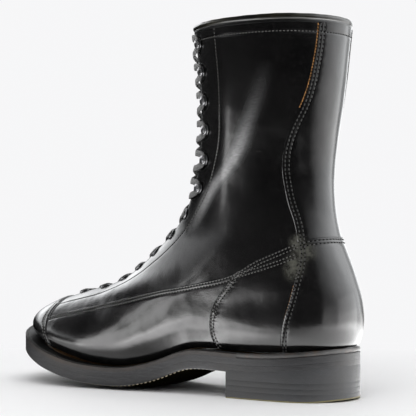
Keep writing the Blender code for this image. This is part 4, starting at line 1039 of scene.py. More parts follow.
def stitch_template(size, sink):
    """One stitch along x, its tips sunk below the surface."""
    length, wide, high = size
    verts, faces = [(-length / 2, 0, -sink)], []
    for x, girth in STITCH_RINGS:
        for k in range(6):
            turn = k * pi / 3
            verts.append((x * length / 2, cos(turn) * wide * girth,
                          sin(turn) * high * girth - sink * x * x))
    verts.append((length / 2, 0, -sink))
    for i in range(3):
        for k in range(6):
            l = (k + 1) % 6
            faces.append((1 + i * 6 + k, 1 + i * 6 + l, 7 + i * 6 + l, 7 + i * 6 + k))
    for k in range(6):
        l = (k + 1) % 6
        faces += [(0, 1 + l, 1 + k), (25, 19 + k, 19 + l)]
    return np.array(verts), faces


def place_stitches(name, centres, ahead, aside, normal, material, size, sink):
    template, template_faces = stitch_template(size, sink)
    verts = (centres[:, None] + ahead[:, None] * template[:, :1]
             + aside[:, None] * template[:, 1:2] + normal[:, None] * template[:, 2:])
    faces = [[k * len(template) + i for i in face]
             for k in range(len(centres)) for face in template_faces]
    return make(name, verts.reshape(-1, 3), faces, [material])


def stitches(name, runs, material, pitch=2.7, size=FINE_STITCH, sink=.28, lift=0.0):
    """Stitches on the upper; runs: (line, level above the surface)."""
    placed = []
    for line, level in runs:
        line = resample(line, pitch)
        middles = (line[1:] + line[:-1]) / 2
        points, _, _, normal = surface_frame(*middles.T)
        heights = level_at(level, middles) + lift + ripple(points)
        ahead = unit(np.diff(points_on(line), axis=0))
        ahead = unit(ahead + np.cross(normal, ahead) * .10)     # each stitch lies askew
        placed.append((points + normal * heights[:, None], ahead, np.cross(normal, ahead),
                       normal))
    bend(place_stitches(name, *[np.concatenate(part) for part in zip(*placed)], material,
                        size, sink))


def sew(stem, runs, material, pitch, size, hole_size):
    """Rows of stitches, and near-black discs of painted shade for the needle holes between them."""
    stitches("stitching_" + stem, runs, material, pitch, size)
    between = []
    for line, level in runs:
        line = resample(line, pitch)
        between.append(((line[1:] + line[:-1]) / 2, level))
    # near-black discs of painted shade for the needle holes
    stitches("hole_shade_discs_" + stem, between, HOLE_SHADE, pitch, hole_size, sink=0, lift=.10)


def long_seam_level(places):
    """The long rows cross from the vamp to the foxing."""
    behind = np.abs(places[:, 0]) > abs(FOXING_SEAM[0, 0])
    return np.where(behind, FOXING_LEVEL, VAMP_LEVEL) - .10


for side in ("lateral", "medial"):
    turn = np.array if side == "lateral" else other_side
    sew("grey_" + side,
        [(turn(resample(row, 2.0)), long_seam_level) for row in LONG_ROWS]
        + [(turn(FACING_SEAM), QUARTER_LEVEL - .14), (turn(TOP_ROW), QUARTER_LEVEL - .10)],
        GREY_THREAD, 2.6, GREY_STITCH, GREY_HOLE)
    stitches("stitching_throat_" + side, [(turn(THROAT_ROW), QUARTER_LEVEL - .12)],
             BLACK_THREAD)
    sew("foxing_" + side, [(turn(row), FOXING_LEVEL - .08) for row in FOXING_ROWS + FORK_ROWS],
        GREY_THREAD, 2.6, GREY_STITCH, GREY_HOLE)
    sew("heavy_" + side,
        [(turn(row), COUNTER_LEVEL - .06) for row in COUNTER_ROWS]
        + [(turn(row), STAY_LEVEL - .06) for row in STAY_ROWS],
        BLACK_THREAD, 3.0, HEAVY_STITCH, HEAVY_HOLE)
stitches("stitching_cap", [(row, CAP_LEVEL - .10) for row in CAP_ROWS], GREY_THREAD)
sew("seat", [(row, COUNTER_LEVEL - .08) for row in SEAT_ROWS], BLACK_THREAD, 3.0,
    SEAT_STITCH, HEAVY_HOLE)
sew("stay_top", [(STAY_TOP_ROW, STAY_LEVEL - .10)], BLACK_THREAD, 2.7, FINE_STITCH, TOP_HOLE)


# ------------------------------------------------------------------ linings and tongue
def skin(name, node, ring, outer, inner, materials, pitch, ends):
    """A sheet between two levels; ends is the spacing of its edge points."""
    ring = resample(closed(ring), ends)[:-1]
    places, tris = triangulate(ring, grid_inside(ring, pitch), SHEET_SCALE)
    points, _, _, normal = surface_frame(*places.T)
    waves = ripple(points) * .8
    top, bottom = [points + normal * (level_at(level, places) + waves)[:, None]
                   for level in (outer, inner)]
    verts, faces = slab(top, bottom, tris)
    index = np.zeros(len(faces), int)
    index[len(tris):2 * len(tris)] = len(materials) - 1
    obj = make(name, verts, faces, materials, index, angle=40)
    if node:
        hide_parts(node)
    return obj


def foot_lining_level(level):
    """The level, sunk deeper round the heel."""
    def at(places):
        s = (1 - np.cos(places[:, 0])) / 2
        deep = smooth_step(s, .74, .80) * (1 - smooth_step(places[:, 1], 93, 112))
        return level - 3.3 * deep
    return at


V_FOOT_LINING = 3.0       # lower edge of the foot lining
foot_top = seam([(-114, 108.5), (-85, 110.5), (-60, 112.0), (-20, 109.5), (22, 107.0)])
foot_top[0, 0] = max(foot_top[0, 0], past_throat(float(foot_top[0, 1]), 2))
foot_top[-1, 0] = pi
low_throat = throat(1.5, 60.0, float(foot_top[0, 1]), 50)
lining_front = CAP_SEAM[FACING_AT_CAP:].copy()
lining_front[:, 0] += 0.06
lining_front = lining_front[lining_front[:, 1] > V_FOOT_LINING]
half = np.concatenate([foot_top[::-1], low_throat[::-1], low_throat[:1], lining_front,
                       [[lining_front[-1, 0] + .01, V_FOOT_LINING]]])
foot_ring = polygon(half, level_line(V_FOOT_LINING, half[-1, 0], 2 * pi - half[-1, 0], 300),
                    across(half), pitch=6.0)
bend(skin("lining_foot", "foot_lining", foot_ring, foot_lining_level(-3.0),
          foot_lining_level(LINING_IN), [LINING], pitch=6.0, ends=4.0))

shaft_low = seam([(-103, 122.5), (-85, 118.5), (-60, 115.5), (-20, 121), (20, 129.0)])
shaft_low[-1, 0] = pi
shaft_low[0, 0] = past_throat(float(shaft_low[0, 1]), 1.5)
high_throat = throat(1.5, float(shaft_low[0, 1]), V_TOP, 60)
half = np.concatenate([high_throat[::-1], shaft_low])
shaft_ring = polygon(half, across(half), level_line(V_TOP, 2 * pi - half[0, 0], half[0, 0], 200),
                     pitch=6.0)
bend(skin("lining_shaft", "shaft_lining", shaft_ring, -2.0, LINING_IN, [LINING], pitch=6.0,
          ends=4.0))

V_FOLD = ridge_v(149.0)     # the tongue folds here
TONGUE_MATERIALS = [CALF_DULL, FLESH]
flap_edge = np.array([(past_throat(v, 19), v) for v in np.linspace(V_FOLD + 8.0, V_TOP - 3, 60)])
flap_edge[:, 0] *= 1 - 0.30 * smooth_step(flap_edge[:, 1], V_TOP - 16, V_TOP - 3) ** 2
flap_foot = level_line(V_FOLD + 1.0, -flap_edge[0, 0], flap_edge[0, 0])
flap_foot[:, 1] += 7.0 * smooth_step(np.abs(flap_foot[:, 0]) / flap_edge[0, 0], .30, 1.0)
flap_ring = polygon(flap_edge, other_side(flap_edge[::-1]), flap_foot)


def flap_level(places):
    """A shallow crease where each lace crosses, and rounded edges."""
    out = np.full(len(places), TONGUE_OUT)
    for z in HOOK_Z:
        out -= (.35 * np.exp(-((places[:, 1] - ridge_v(z) + 9) / 4.0) ** 2)
                * np.exp(-(places[:, 0] / .5) ** 2))
    edge = distance(points_on(places), points_along(closed(flap_ring)))
    return out + np.interp(edge, [0, .4, 1.4], [-.75, -.25, 0])


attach(skin("tongue_flap", "tongue", flap_ring, flap_level, TONGUE_IN, TONGUE_MATERIALS,
             pitch=3.6, ends=3.0), "tongue")


def gusset_level(places):
    """Lies in soft folds down the instep."""
    phi, v = places.T
    return (TONGUE_OUT
            + .45 * np.sin(v / 4.6 + 2.2 * np.cos(phi * 2.1)) * np.exp(-(phi / .6) ** 2))


def band_ring(edge):
    """Polygon between a lateral edge and its medial twin."""
    return polygon(edge, other_side(edge[::-1]), level_line(edge[0, 1], -edge[0, 0], edge[0, 0]))


gusset_edge = np.array([(phi_at_arc(v, float(THROAT_ARC(v)) + 14 * smooth_step(v, 40, 90) + 6), v)
                        for v in np.linspace(60, V_FOLD - 1.0, 60)])
bend(skin("tongue_gusset_fold", "tongue_gusset", band_ring(gusset_edge), gusset_level, -6.4,
          TONGUE_MATERIALS, pitch=3.2, ends=3.0))

strip_edge = np.array([(past_throat(v, 5), v)
                       for v in np.linspace(V_FOLD - 7.0, V_FOLD + 8.0, 12)])
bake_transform(skin("tongue_fold_strip", None, band_ring(strip_edge), -7.8, -8.7, TONGUE_MATERIALS,
              pitch=1.6, ends=2.0))

# ------------------------------------------------------------------ collar binding
COLLAR_POINTS = 260
collar_start = phi_at_arc(V_TOP, 21.0)
collar_phi = np.linspace(collar_start, 2 * pi - collar_start, COLLAR_POINTS)


def collar_frame(v):
    points, _, by_v, normal = surface_frame(collar_phi, np.full(COLLAR_POINTS, v))
    return points, normal, unit(by_v)


points, normal, up = collar_frame(V_TOP + 3.4)
bead = np.array([(BINDING_R * cos(t), BINDING_R * sin(t)) for t in np.arange(20) * 2 * pi / 20])
swell = np.array([.10 * noise.noise(Vector(p / 9.0)) for p in points])
verts, faces = sweep(points - normal * 1.6, normal, up, bead * (1 + swell)[:, None, None])
collar_bead = make("collar_bead", verts, faces, [BINDING], angle=60)
# the binding's turned-in edge fills the slit between bead, leather and lining:
# outward and upward distances
TUCK = [(.15, -.5), (.25, .4), (.2, 1.6), (-.4, 2.6), (-2.4, 2.6), (-3.4, 1.6), (-3.6, .4),
        (-3.5, -.5)]
verts, faces = sweep(*collar_frame(V_TOP), TUCK)
bend(make("collar_tuck", verts, faces, [CALF_DULL], angle=60))
bend(collar_bead)
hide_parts("collar_binding")

# ------------------------------------------------------------------ hooks, eyelets
# hook neck: distance towards the throat, height; and its half widths
HOOK_PATH = [(-5.0, .7), (-3.7, .7), (-.8, .7), (1.1, .8), (2.1, 1.25), (2.2, 1.85),
             (1.2, 2.35), (-.8, 2.3), (-3.4, 1.9)]
HOOK_WIDTHS = [1.6, 2.9, 3.0, 2.3, 1.7, 1.7, 2.1, 2.2, 1.3]
HOOK_HALF_T = .40
HOOK_STEPS = 30
HOOK_LEAN = radians(12)
# shares of half width and half thickness
HOOK_SECTION = np.array([(-1, 0), (-.93, -.7), (-.8, -1), (.8, -1), (.93, -.7), (1, 0),
                         (.93, .7), (.8, 1), (-.8, 1), (-.93, .7)])
# turned profiles: radius, height
HOOK_FOOT = [(0.01, .30), (3.7, .30), (3.85, .5), (3.75, .8), (3.2, .98), (2.0, 1.05),
             (0.01, 1.1)]
HOOK_LUG = [(0.01, -.35), (2.0, -.38), (2.7, -.45), (3.2, -.35), (3.5, .05), (3.42, .5),
            (3.05, .72), (2.65, .55), (2.4, .2), (1.1, .10), (0.01, .14)]
EYELET_RING = [(1.75, -2.2), (2.15, -2.2), (2.2, .15), (3.6, .1), (4.15, .25), (4.25, .6),
               (3.95, 1.0), (3.3, 1.28), (2.6, 1.25), (2.05, .9), (1.8, .3)]


def fitting_axes(phi, v, side):
    """Point, direction towards the throat, up, and outward normal."""
    point, by_phi, by_v, normal = surface_frame(side * phi, v)
    ahead = -unit(by_phi) * side
    up = by_v - normal * (by_v @ normal)
    up = up - ahead * (up @ ahead)
    return point, ahead, unit(up), normal


def revolve(profile, point, first, second, axis, turns):
    verts, faces = [], []
    k = len(profile)
    for j in range(turns):
        t = 2 * pi * j / turns
        ray = first * cos(t) + second * sin(t)
        verts += [point + ray * r + axis * h for r, h in profile]
        ahead = (j + 1) % turns
        faces += [(j * k + i, j * k + (i + 1) % k, ahead * k + (i + 1) % k, ahead * k + i)
                  for i in range(k)]
    return np.array(verts), outward(verts, faces)


def hook_mesh(point, ahead, up, normal):
    """A neck bent from the riveted foot round to the lug, the foot plate, and the lug."""
    lengths = arc_length(HOOK_PATH)
    path = spline(lengths, HOOK_PATH)(np.linspace(0, lengths[-1], HOOK_STEPS))
    widths = spline(np.linspace(0, 1, len(HOOK_WIDTHS)), HOOK_WIDTHS)(
        np.linspace(0, 1, HOOK_STEPS))
    along = unit(np.gradient(path, axis=0))
    sizes = np.column_stack([widths, np.full(HOOK_STEPS, HOOK_HALF_T)])
    neck = sweep(point + ahead * path[:, :1] + normal * path[:, 1:],
                 np.tile(up, (HOOK_STEPS, 1)), ahead * -along[:, 1:] + normal * along[:, :1],
                 HOOK_SECTION * sizes[:, None])
    foot = revolve(HOOK_FOOT, point - ahead * 2.6, ahead, up, normal, 28)
    lug_ahead = ahead * cos(HOOK_LEAN) + normal * sin(HOOK_LEAN)
    lug_axis = normal * cos(HOOK_LEAN) - ahead * sin(HOOK_LEAN)
    lug = revolve(HOOK_LUG, point - ahead * 2.2 + normal * 2.1, lug_ahead, up, lug_axis, 32)
    verts, faces = [], []
    for part_verts, part_faces in (neck, foot, lug):
        base = len(verts)
        verts.extend(part_verts)
        faces += [tuple(base + i for i in face) for face in part_faces]
    return np.array(verts), faces


def eyelet_mesh(point, ahead, up, normal):
    return revolve(EYELET_RING, point, ahead, up, normal, 30)


for stations, build, object_stem, node_stem in ((hooks, hook_mesh, "hook", "speed_hook"),
                                                (eyelets, eyelet_mesh, "lace_eyelet", "eyelet")):
    for i, (phi, v) in enumerate(stations):
        for side, tag in ((1, "lateral"), (-1, "medial")):
            verts, faces = build(*fitting_axes(phi, v, side))
            obj = make("%s_%s_%d" % (object_stem, tag, i + 1), verts, faces, [METAL], angle=35)
            bend(obj)
            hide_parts("%s_%s_%d" % (node_stem, tag, i + 1))

# ------------------------------------------------------------------ lace: a flat braid
LACE_HALF_W, LACE_HALF_T, LACE_STEP = 2.35, .62, 1.15
# the lace round a fitting: arc behind it, v above it, height off the surface
ROUND_HOOK = ((-9.0, 5.2, 1.9), (-5.2, 4.6, 2.0), (.8, 3.2, 1.7), (2.4, 0, 1.55),
              (.8, -3.2, 1.7), (-5.2, -4.6, 2.0), (-9.0, -5.2, 1.9))
ROUND_EYELET = ((-4.2, 1.3, 1.55), (0, 0, 1.7), (-4.2, -1.3, 1.55))
stations = hooks + eyelets


def lace_run(first_side):
    """One end of the lace, zigzagging down: (phi, v, height) rows and its last side."""
    side = first_side
    way = []
    for k, (phi, v) in enumerate(stations):
        phi_mm = np.linalg.norm(surface_frame(phi, v)[1])
        way += [(side * (phi + arc / phi_mm), v + rise, height)
                for arc, rise, height in (ROUND_HOOK if k < len(hooks) else ROUND_EYELET)]
        if k + 1 < len(stations):
            next_v = stations[k + 1][1]
            middle = (v + next_v) / 2
            if k < len(hooks) - 1:
                over = 4.6 if first_side > 0 else 3.0
                beside = 3.6
            else:
                over = -.6 if first_side > 0 else -2.4
                beside = 1.9 + .5 * (over - 1.9)
            edge = min(past_throat(middle, 0), .9 * phi) * .62
            slant = .22 * (v - next_v)
            way += [(side * edge, middle + slant, beside), (0.0, middle, over),
                    (-side * edge, middle - slant, beside)]
        side = -side
    return way, -side


lead, end_side = lace_run(1)
back, _ = lace_run(-1)
last_phi, last_v = stations[-1]
bar = [(end_side * last_phi * .5, last_v - 2.4, 1.6), (0.0, last_v - 2.8, 1.4),
       (-end_side * last_phi * .5, last_v - 2.4, 1.6)]
top_phi, top_v = hooks[0]
begin = [(-top_phi * .35, top_v + 8.3, 1.6), (0.0, top_v + 8.3, 1.8),
         (top_phi * .4, top_v + 7.8, 1.8)]
way = np.array(begin + lead + bar + back[::-1])
gaps = np.linalg.norm(np.diff(points_on(way[:, :2]), axis=0), axis=1)
knots = np.concatenate([[0], np.cumsum(np.maximum(gaps, .8))])
dense = spline(knots, way)(np.linspace(0, knots[-1], int(knots[-1] / LACE_STEP)))
points, _, _, normal = surface_frame(dense[:, 0], dense[:, 1])
path = points + normal * dense[:, 2:3]
ahead = unit(np.gradient(path, axis=0))
aside = unit(np.cross(ahead, normal))
for _ in range(6):      # evens out the twist
    aside[1:-1] = (aside[:-2] + 2 * aside[1:-1] + aside[2:]) / 4
    aside -= ahead * np.sum(aside * ahead, axis=1, keepdims=True)
    aside = unit(aside)
cord = []
for turn in np.arange(14) * 2 * pi / 14:
    c, s = cos(turn), sin(turn)
    cord.append((LACE_HALF_W * np.sign(c) * abs(c) ** .7,
                 LACE_HALF_T * np.sign(s) * abs(s) ** .8))
sections = [[(a * (1 + .05 * sin(i * 1.9)), b) for a, b in cord] for i in range(len(path))]
verts, faces = sweep(path, aside, np.cross(aside, ahead), sections)
uv = np.array([(length, a) for length in arc_length(path) for a, _ in cord])
lace = make("lace_braid", verts, faces, [LACE], angle=70, uv=uv)
bend(lace)
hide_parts("lace")

# ------------------------------------------------------------------ sole outline and heights
# plan outline (x, y), from the heel back round by the lateral side
OUTLINE = ring_spline([
    (0, 40), (19.25, 34.8), (33.3, 20.75), (HEEL_R, 1.5), (39.2, -38), (40.2, -80),
    (44.5, -112), (51, -150), (54, -185), (49, -215), (36, -240), (14, -258), (-8, -265.5),
    (-27, -258), (-43, -240), (-51.5, -215), (-52, -185), (-44, -150), (-34, -112),
    (-31.5, -80), (-35.5, -38), (-HEEL_R, 1.5), (-33.3, 20.75), (-19.25, 34.8)])
full_turn = OUTLINE(np.arange(721) / 720)
toe = int(np.argmin(full_turn[:, 1]))
LATERAL_EDGE, MEDIAL_EDGE = full_turn[:toe + 1][::-1], full_turn[toe:]      # both from the toe
RING_COUNT = 420


def outline(shrink, count):
    """The sole's plan outline, moved inwards by shrink."""
    points = OUTLINE(np.arange(count * 8) / (count * 8))
    along = unit(np.roll(points, -1, 0) - np.roll(points, 1, 0))
    points = closed(points + np.stack([-along[:, 1], along[:, 0]], 1) * (-shrink))
    lengths = arc_length(points)
    return interpolate(np.linspace(0, lengths[-1], count + 1)[:-1], lengths, points)


def welt_top(x, y):
    """Height of the welt's top; it rises in front of the feather line."""
    s = (np.asarray(y, float) - FEATHER_TOE_Y) / (FEATHER_HEEL_Y - FEATHER_TOE_Y)
    return FEATHER(np.clip(s, 0, 1)) - 0.3 + np.where(s < 0, -s * 70, 0)


def below_welt(drop):
    return lambda x, y: welt_top(x, y) - drop


def flat(z):
    return lambda x, y: np.full(np.shape(x), float(z))


def smooth_tread(x, y):
    """The tread, crowned under the forefoot."""
    edge = welt_top(x, y) - SOLE_STACK
    crown = OUTSOLE_CROWN * smooth_step(-np.asarray(y, float), 60, 110)
    middle = np.maximum(0, edge - crown)
    high = np.interp(y, LATERAL_EDGE[:, 1], LATERAL_EDGE[:, 0])
    low = np.interp(y, MEDIAL_EDGE[::-1, 1][::-1], MEDIAL_EDGE[:, 0])
    off = np.abs(np.asarray(x, float) - (high + low) / 2) / np.maximum((high - low) / 2, 1.0)
    return middle + (edge - middle) * smooth_step(off, 0.4, 1.0)


# ------------------------------------------------------------------ sole parts
def roughen(points, amount):
    """Moves a ring of points in and out in plan by a little noise."""
    out = unit(points[:, :2] - points[:, :2].mean(axis=0))
    size = 5.0
    wobble = np.array([amount * noise.noise(Vector((x / size, y / size, z / (size * .35))))
                       for x, y, z in points])
    points[:, :2] += out * wobble[:, None]


def sole_rings(profile, rough):
    """Rings round the sole for (inset, height from the welt's top) rows."""
    rings = []
    for shrink, rise in profile:
        plan = outline(shrink, RING_COUNT)
        ring = np.column_stack([plan, welt_top(*plan.T) + rise])
        if shrink < 3:
            roughen(ring, rough)
        rings.append(ring)
    return rings


def ribbon(name, node, rings, keep, material):
    """A closed section swept round the kept stretch of the sole's outline."""
    first = int(np.nonzero(keep & ~np.roll(keep, 1))[0][0])
    kept = (first + np.arange(keep.sum())) % RING_COUNT
    verts = np.stack(rings, 1)[kept].reshape(-1, 3)
    faces = outward(verts, tube_faces(len(kept), len(rings)))
    obj = make(name, verts, faces, [material], angle=50)
    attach(obj, "foot")
    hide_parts(node)


def plan_solid(name, node, rings, top_height, low_height, materials, top_points, low_points,
               low_material=0):
    """A solid between two plan faces; rings go down its wall."""
    n = len(rings[0])
    verts = list(rings)
    faces = []
    for j in range(len(rings) - 1):
        for i in range(n):
            l = (i + 1) % n
            faces.append((j * n + i, j * n + l, (j + 1) * n + l, (j + 1) * n + i))
    index = [0] * len(faces)
    base = len(rings) * n
    for ring, height, points, order, material in (
            (rings[0], top_height, top_points, 1, 0),
            (rings[-1], low_height, low_points, -1, low_material)):
        plan = ring[:, :2]
        area = np.sum(plan[:, 0] * np.roll(plan[:, 1], -1) - np.roll(plan[:, 0], -1) * plan[:, 1])
        turned = plan[::-1] if area < 0 else plan
        places, tris = triangulate(turned, points[inside(turned, points)],
                                   np.array([1.0, 1.0]))
        z = height(*places.T)
        # ring points keep the ring's own height
        for i, place in enumerate(places):
            gap = np.abs(plan - place).sum(axis=1)
            j = int(np.argmin(gap))
            if gap[j] < 1e-3:
                z[i] = ring[j, 2]
        verts.append(np.column_stack([places, z]))
        faces += [tuple(base + i for i in tri) for tri in tris[:, ::order]]
        index += [material] * len(tris)
        base += len(places)
    obj = make(name, np.concatenate(verts), faces, materials, index, smooth=False)
    bm = bmesh.new()
    bm.from_mesh(obj.data)
    bmesh.ops.remove_doubles(bm, verts=bm.verts, dist=2e-6)
    bmesh.ops.recalc_face_normals(bm, faces=bm.faces)
    bm.to_mesh(obj.data)
    bm.free()
    shade(obj.data, 45)
    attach(obj, "foot")
    if node:
        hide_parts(node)


def plan_grid(pitch, low=-270, high=45):
    """Staggered rows of plan points from y = low to high."""
    return np.array([(x, y) for k, y in enumerate(np.arange(low, high, pitch * .87))
                     for x in np.arange(-60 + (k % 2) * pitch / 2, 60, pitch)])


# wall profiles: inset from the outline, height from the welt's top
WELT_PROFILE = [(13, -.6), (4.6, -.35), (2.6, -.15), (1.0, .0), (.5, -.10), (.2, -.42),
                (.10, -.9), (.10, -1.9), (.10, -2.6), (.10, -3.40), (.8, -3.42), (13, -3.4)]
RAND_PROFILE = [(13, -.6), (4.6, -.35), (2.4, -.2), (1.3, .35), (.6, .2), (.2, -.4),
                (.1, -1.4), (.25, -2.5), (.8, -3.0), (.8, -3.25), (13, -3.3)]
MIDSOLE_PROFILE = [(1.3, -3.36), (.12, -3.36), (.10, -3.44), (.10, -4.4), (.10, -6.2),
                   (.10, -8.2), (.12, -8.30)]
OUTSOLE_PROFILE = [(.14, -8.26), (.10, -8.32), (.10, -8.8), (.10, -11.0), (.14, -12.9),
                   (.42, -13.65), (1.2, -14.0)]
outline_y = outline(0, RING_COUNT)[:, 1]
ribbon("sole_welt", "welt", sole_rings(WELT_PROFILE, rough=.16), outline_y < -31.7, WELT)
ribbon("sole_rand", "heel_rand", sole_rings(RAND_PROFILE, rough=.30), outline_y > -33.5, RAND)
plan_solid("sole_midsole", "midsole", sole_rings(MIDSOLE_PROFILE, rough=.12), below_welt(3.4),
           below_welt(8.2), [EDGE], plan_grid(14), plan_grid(14))

CHANNEL_INSET = 3.4       # the stitch channel round the tread
CHANNEL = outline(CHANNEL_INSET, 600)
# rings of tread points: inset, count
TREAD_RINGS = ((2.0, 320), (2.9, 320), (CHANNEL_INSET, 320), (3.9, 320), (4.8, 300),
               (7.0, 240), (10.0, 200))
core = plan_grid(4.6)
core = core[inside(outline(12.5, 200), core)]
tread_points = np.concatenate([outline(*ring) for ring in TREAD_RINGS] + [core])


def tread_face(x, y):
    """The tread with its stitch channel and slow waves of wear."""
    gap = distance(np.column_stack([x, y]), CHANNEL)
    z = smooth_tread(x, y) + .75 * np.exp(-(gap / .75) ** 2)
    return z + np.array([.18 * noise.noise(Vector((a / 14, b / 14, 0))) + .1
                         for a, b in zip(x, y)])


plan_solid("sole_outsole", "outsole", sole_rings(OUTSOLE_PROFILE, rough=.12), below_welt(8.3),
           tread_face, [EDGE, SHADED_TREAD], plan_grid(16), tread_points, low_material=1)


# ------------------------------------------------------------------ heel
def heel_outline(shrink, count=170):
    """D-shaped plan of the heel block."""
    curve = outline(shrink, 600)
    curve = curve[curve[:, 1] > HEEL_BREAST_Y + .2 + shrink * .6]
    curve = curve[np.argsort(np.arctan2(curve[:, 0], curve[:, 1]))]
    breast_y = HEEL_BREAST_Y + shrink
    ring = closed(np.concatenate([curve, [(curve[-1, 0], breast_y), (curve[0, 0], breast_y)]]))
    lengths = arc_length(ring)
    samples = np.linspace(0, lengths[-1], count + 1)[:-1]
    # keep the two breast corners as samples
    for corner in (len(curve), len(curve) + 1):
        samples[int(np.argmin(np.abs(samples - lengths[corner])))] = lengths[corner]
    return interpolate(samples, lengths, ring)


def heel_layer(name, node, low, high, materials, inset=.10, low_material=0, edge=.05):
    """One layer of the heel between two height functions; edge is its softened rim."""
    rings = []
    for shrink, share in ((1.2, 1.0), (edge, 1.0), (.0, .97), (.0, .5), (.0, .03), (edge, 0.0),
                          (1.2, 0.0)):
        plan = heel_outline(inset + shrink)
        bottom = low(*plan.T)
        ring = np.column_stack([plan, bottom + (high(*plan.T) - bottom) * share])
        roughen(ring, .12)
        rings.append(ring)
    plan_solid(name, node, rings, high, low, materials, plan_grid(9, -45, 45),
               plan_grid(5, -45, 45), low_material)


def heel_bevel(x, y):
    """The heel's underside, rising towards its back."""
    return 1.5 * smooth_step(np.asarray(y, float), 16, 42) ** 1.5


layer_z = TOP_LIFT_T + LIFT_GAP
heel_layer("heel_top_lift", "top_lift", lambda x, y: heel_bevel(x, y) + .9,
           flat(layer_z + .02), [HEEL, SHADED_TREAD], low_material=1)
heel_layer("heel_tread_piece", None, heel_bevel, lambda x, y: heel_bevel(x, y) + .92,
           [LIFT, SHADED_TREAD], low_material=1, edge=.12)
for k in range(2):
    heel_layer("heel_stack_%d" % (k + 1), "heel_lift_%d" % (k + 1), flat(layer_z - .02),
               flat(layer_z + LIFT_T + LIFT_GAP), [HEEL])
    layer_z += LIFT_T + LIFT_GAP
heel_layer("heel_seat_lift", "heel_wedge", flat(layer_z - .02),
           lambda x, y: welt_top(x, y) - SOLE_STACK + 1.9, [HEEL], inset=.05)


# ------------------------------------------------------------------ sole stitching
def plan_stitches(name, shrink, height, material, pitch, size, keep, up=1.0):
    """Stitches round the sole, inset by shrink, where keep(y) holds; up is -1 below it."""
    ring = closed(outline(shrink, 600))
    lengths = arc_length(ring)
    count = int(lengths[-1] / pitch)
    middles = (np.arange(count) + .5) * lengths[-1] / count
    places = interpolate(middles, lengths, ring)
    kept = keep(places[:, 1])
    ends = interpolate((middles + .5) % lengths[-1], lengths, ring)[kept]
    places = places[kept]
    start, end = [np.column_stack([plan, height(*plan.T)]) for plan in (places, ends)]
    ahead = unit(end - start)
    axis = np.array([0, 0, up])
    normal = unit(axis - ahead * (ahead @ axis)[:, None])
    obj = place_stitches(name, start, ahead, np.cross(normal, ahead), normal, material, size,
                         sink=.2)
    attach(obj, "foot")


STAIN_Y = -168      # the channel stitches in front of this are stained


def channel_height(x, y):
    return smooth_tread(x, y) + .35


plan_stitches("lockstitch_cream", CHANNEL_INSET, channel_height, CREAM_THREAD, 3.5,
              (2.0, .55, .62), lambda y: (y > STAIN_Y) & (y < HEEL_BREAST_Y - 3), up=-1.0)
plan_stitches("lockstitch_stained", CHANNEL_INSET, channel_height, BROWN_THREAD, 3.5,
              (2.2, .5, .45), lambda y: y <= STAIN_Y, up=-1.0)
plan_stitches("welt_stitching", 1.9, below_welt(.02), BLACK_THREAD, 3.2, (2.5, .45, .42),
              lambda y: y < -34)

# ------------------------------------------------------------------ hidden CAD parts
for node, material in (("insole", BOARD), ("sock_liner", LINING), ("cork_filler", CORK),
                       ("shank", STEEL), ("toe_stiffener", BOARD),
                       ("counter_stiffener", BOARD)):
    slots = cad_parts[node].data.materials
    slots.clear()
    slots.append(material)

# ------------------------------------------------------------------ floor
scene = bpy.context.scene
scene.view_settings.view_transform = "Standard"
FLOOR_Z = CAD_LO[2]
FLOOR_HALF = 6.0
BACKDROP = (.925, .925, .935)
# brightness tables: azimuth in degrees from a zero direction, strength
REAR_PANEL_AZIMUTH = 150
PANEL_LOW = [(-72, 0), (-66, .12), (-60, .4), (-52, .9), (-45, 1.15), (-38, 1.42), (-24, 1.9),
             (-8, 2.2), (6, 2.6), (13, 3.0), (19, 1.2), (24, .3), (33, .3), (45, 1.9),
             (58, 1.2), (70, 0)]
NEAR_TABLE = [(-180, .8), (-168, .7), (-161, .8), (-154, 1.8), (-146, 5.5), (-134, 8.0),
              (-122, 4.0), (-110, 2.2), (-90, 1.9), (-54, 2.1), (-34, 3.0), (-12, 4.6),
              (10, 5.2), (40, 4.0), (70, 2.6), (100, 1.4), (150, .9), (180, .9)]
FAR_TABLE = [(-60, 0), (-44, .9), (-22, 1.4), (-8, 3.0), (2, 5.4), (9, 5.6), (16, 1.2),
             (30, .2), (36, .1)]
FAR_REAR = [(-130, .3), (-112, .8), (-94, 1.0), (-71, 1.6), (-50, 2.2), (-30, 3.2), (-8, 5.6),
            (10, 6.0), (50, 2.6), (90, .6), (120, 0)]
SOLE_SHADE = [(-165, 0), (-152, .85), (-138, .85), (-131, 0)]


def table_glow(m, position):
    """What the polish mirrors: a table lit by azimuth and distance from the boot."""
    offset = m.offset_from(position, (0, -.08, 0))
    x, y, _ = m.add("SeparateXYZ", {0: offset}).outputs
    radius_mm = m.times(m.length(offset), 1000)

    def by_radius(stops):
        """Grey ramp over the distance in metres."""
        return m.ramp(m.times(radius_mm, .001), stops)

    around = m.azimuth(x, y, 120)
    near_table = m.window(around, NEAR_TABLE, top=8)
    far_table = m.window(m.azimuth(x, y, -30), FAR_TABLE, top=7)
    far_rear = m.window(around, FAR_REAR, top=6)
    far = by_radius([(.15, 0.0), (.22, 1.0), (.41, 1.0), (.48, .25), (.62, 0.0)])
    close = by_radius([(.0, 1.0), (.14, 1.0), (.22, 0.0)])
    rear = by_radius([(.14, 0.0), (.22, 1.0), (.42, 1.0), (.56, 0.0)])
    # the sole shades the table close under the vamp
    shadow = m.times(m.window(around, SOLE_SHADE), by_radius([(.13, 1.0), (.165, 0.0)]))
    near_table = m.times(near_table, m.minus(1.0, shadow))
    glow = m.plus(m.times(near_table, close), m.times(far_table, far))
    glow = m.plus(glow, m.times(far_rear, rear))
    # the rear panel stands on the table, so rays that dip below the horizon still see it
    beyond = by_radius([(.46, 0.0), (.58, 1.0)])
    panel = m.window(m.azimuth(x, y, REAR_PANEL_AZIMUTH), PANEL_LOW, top=3.2)
    return m.plus(glow, m.times(panel, beyond))


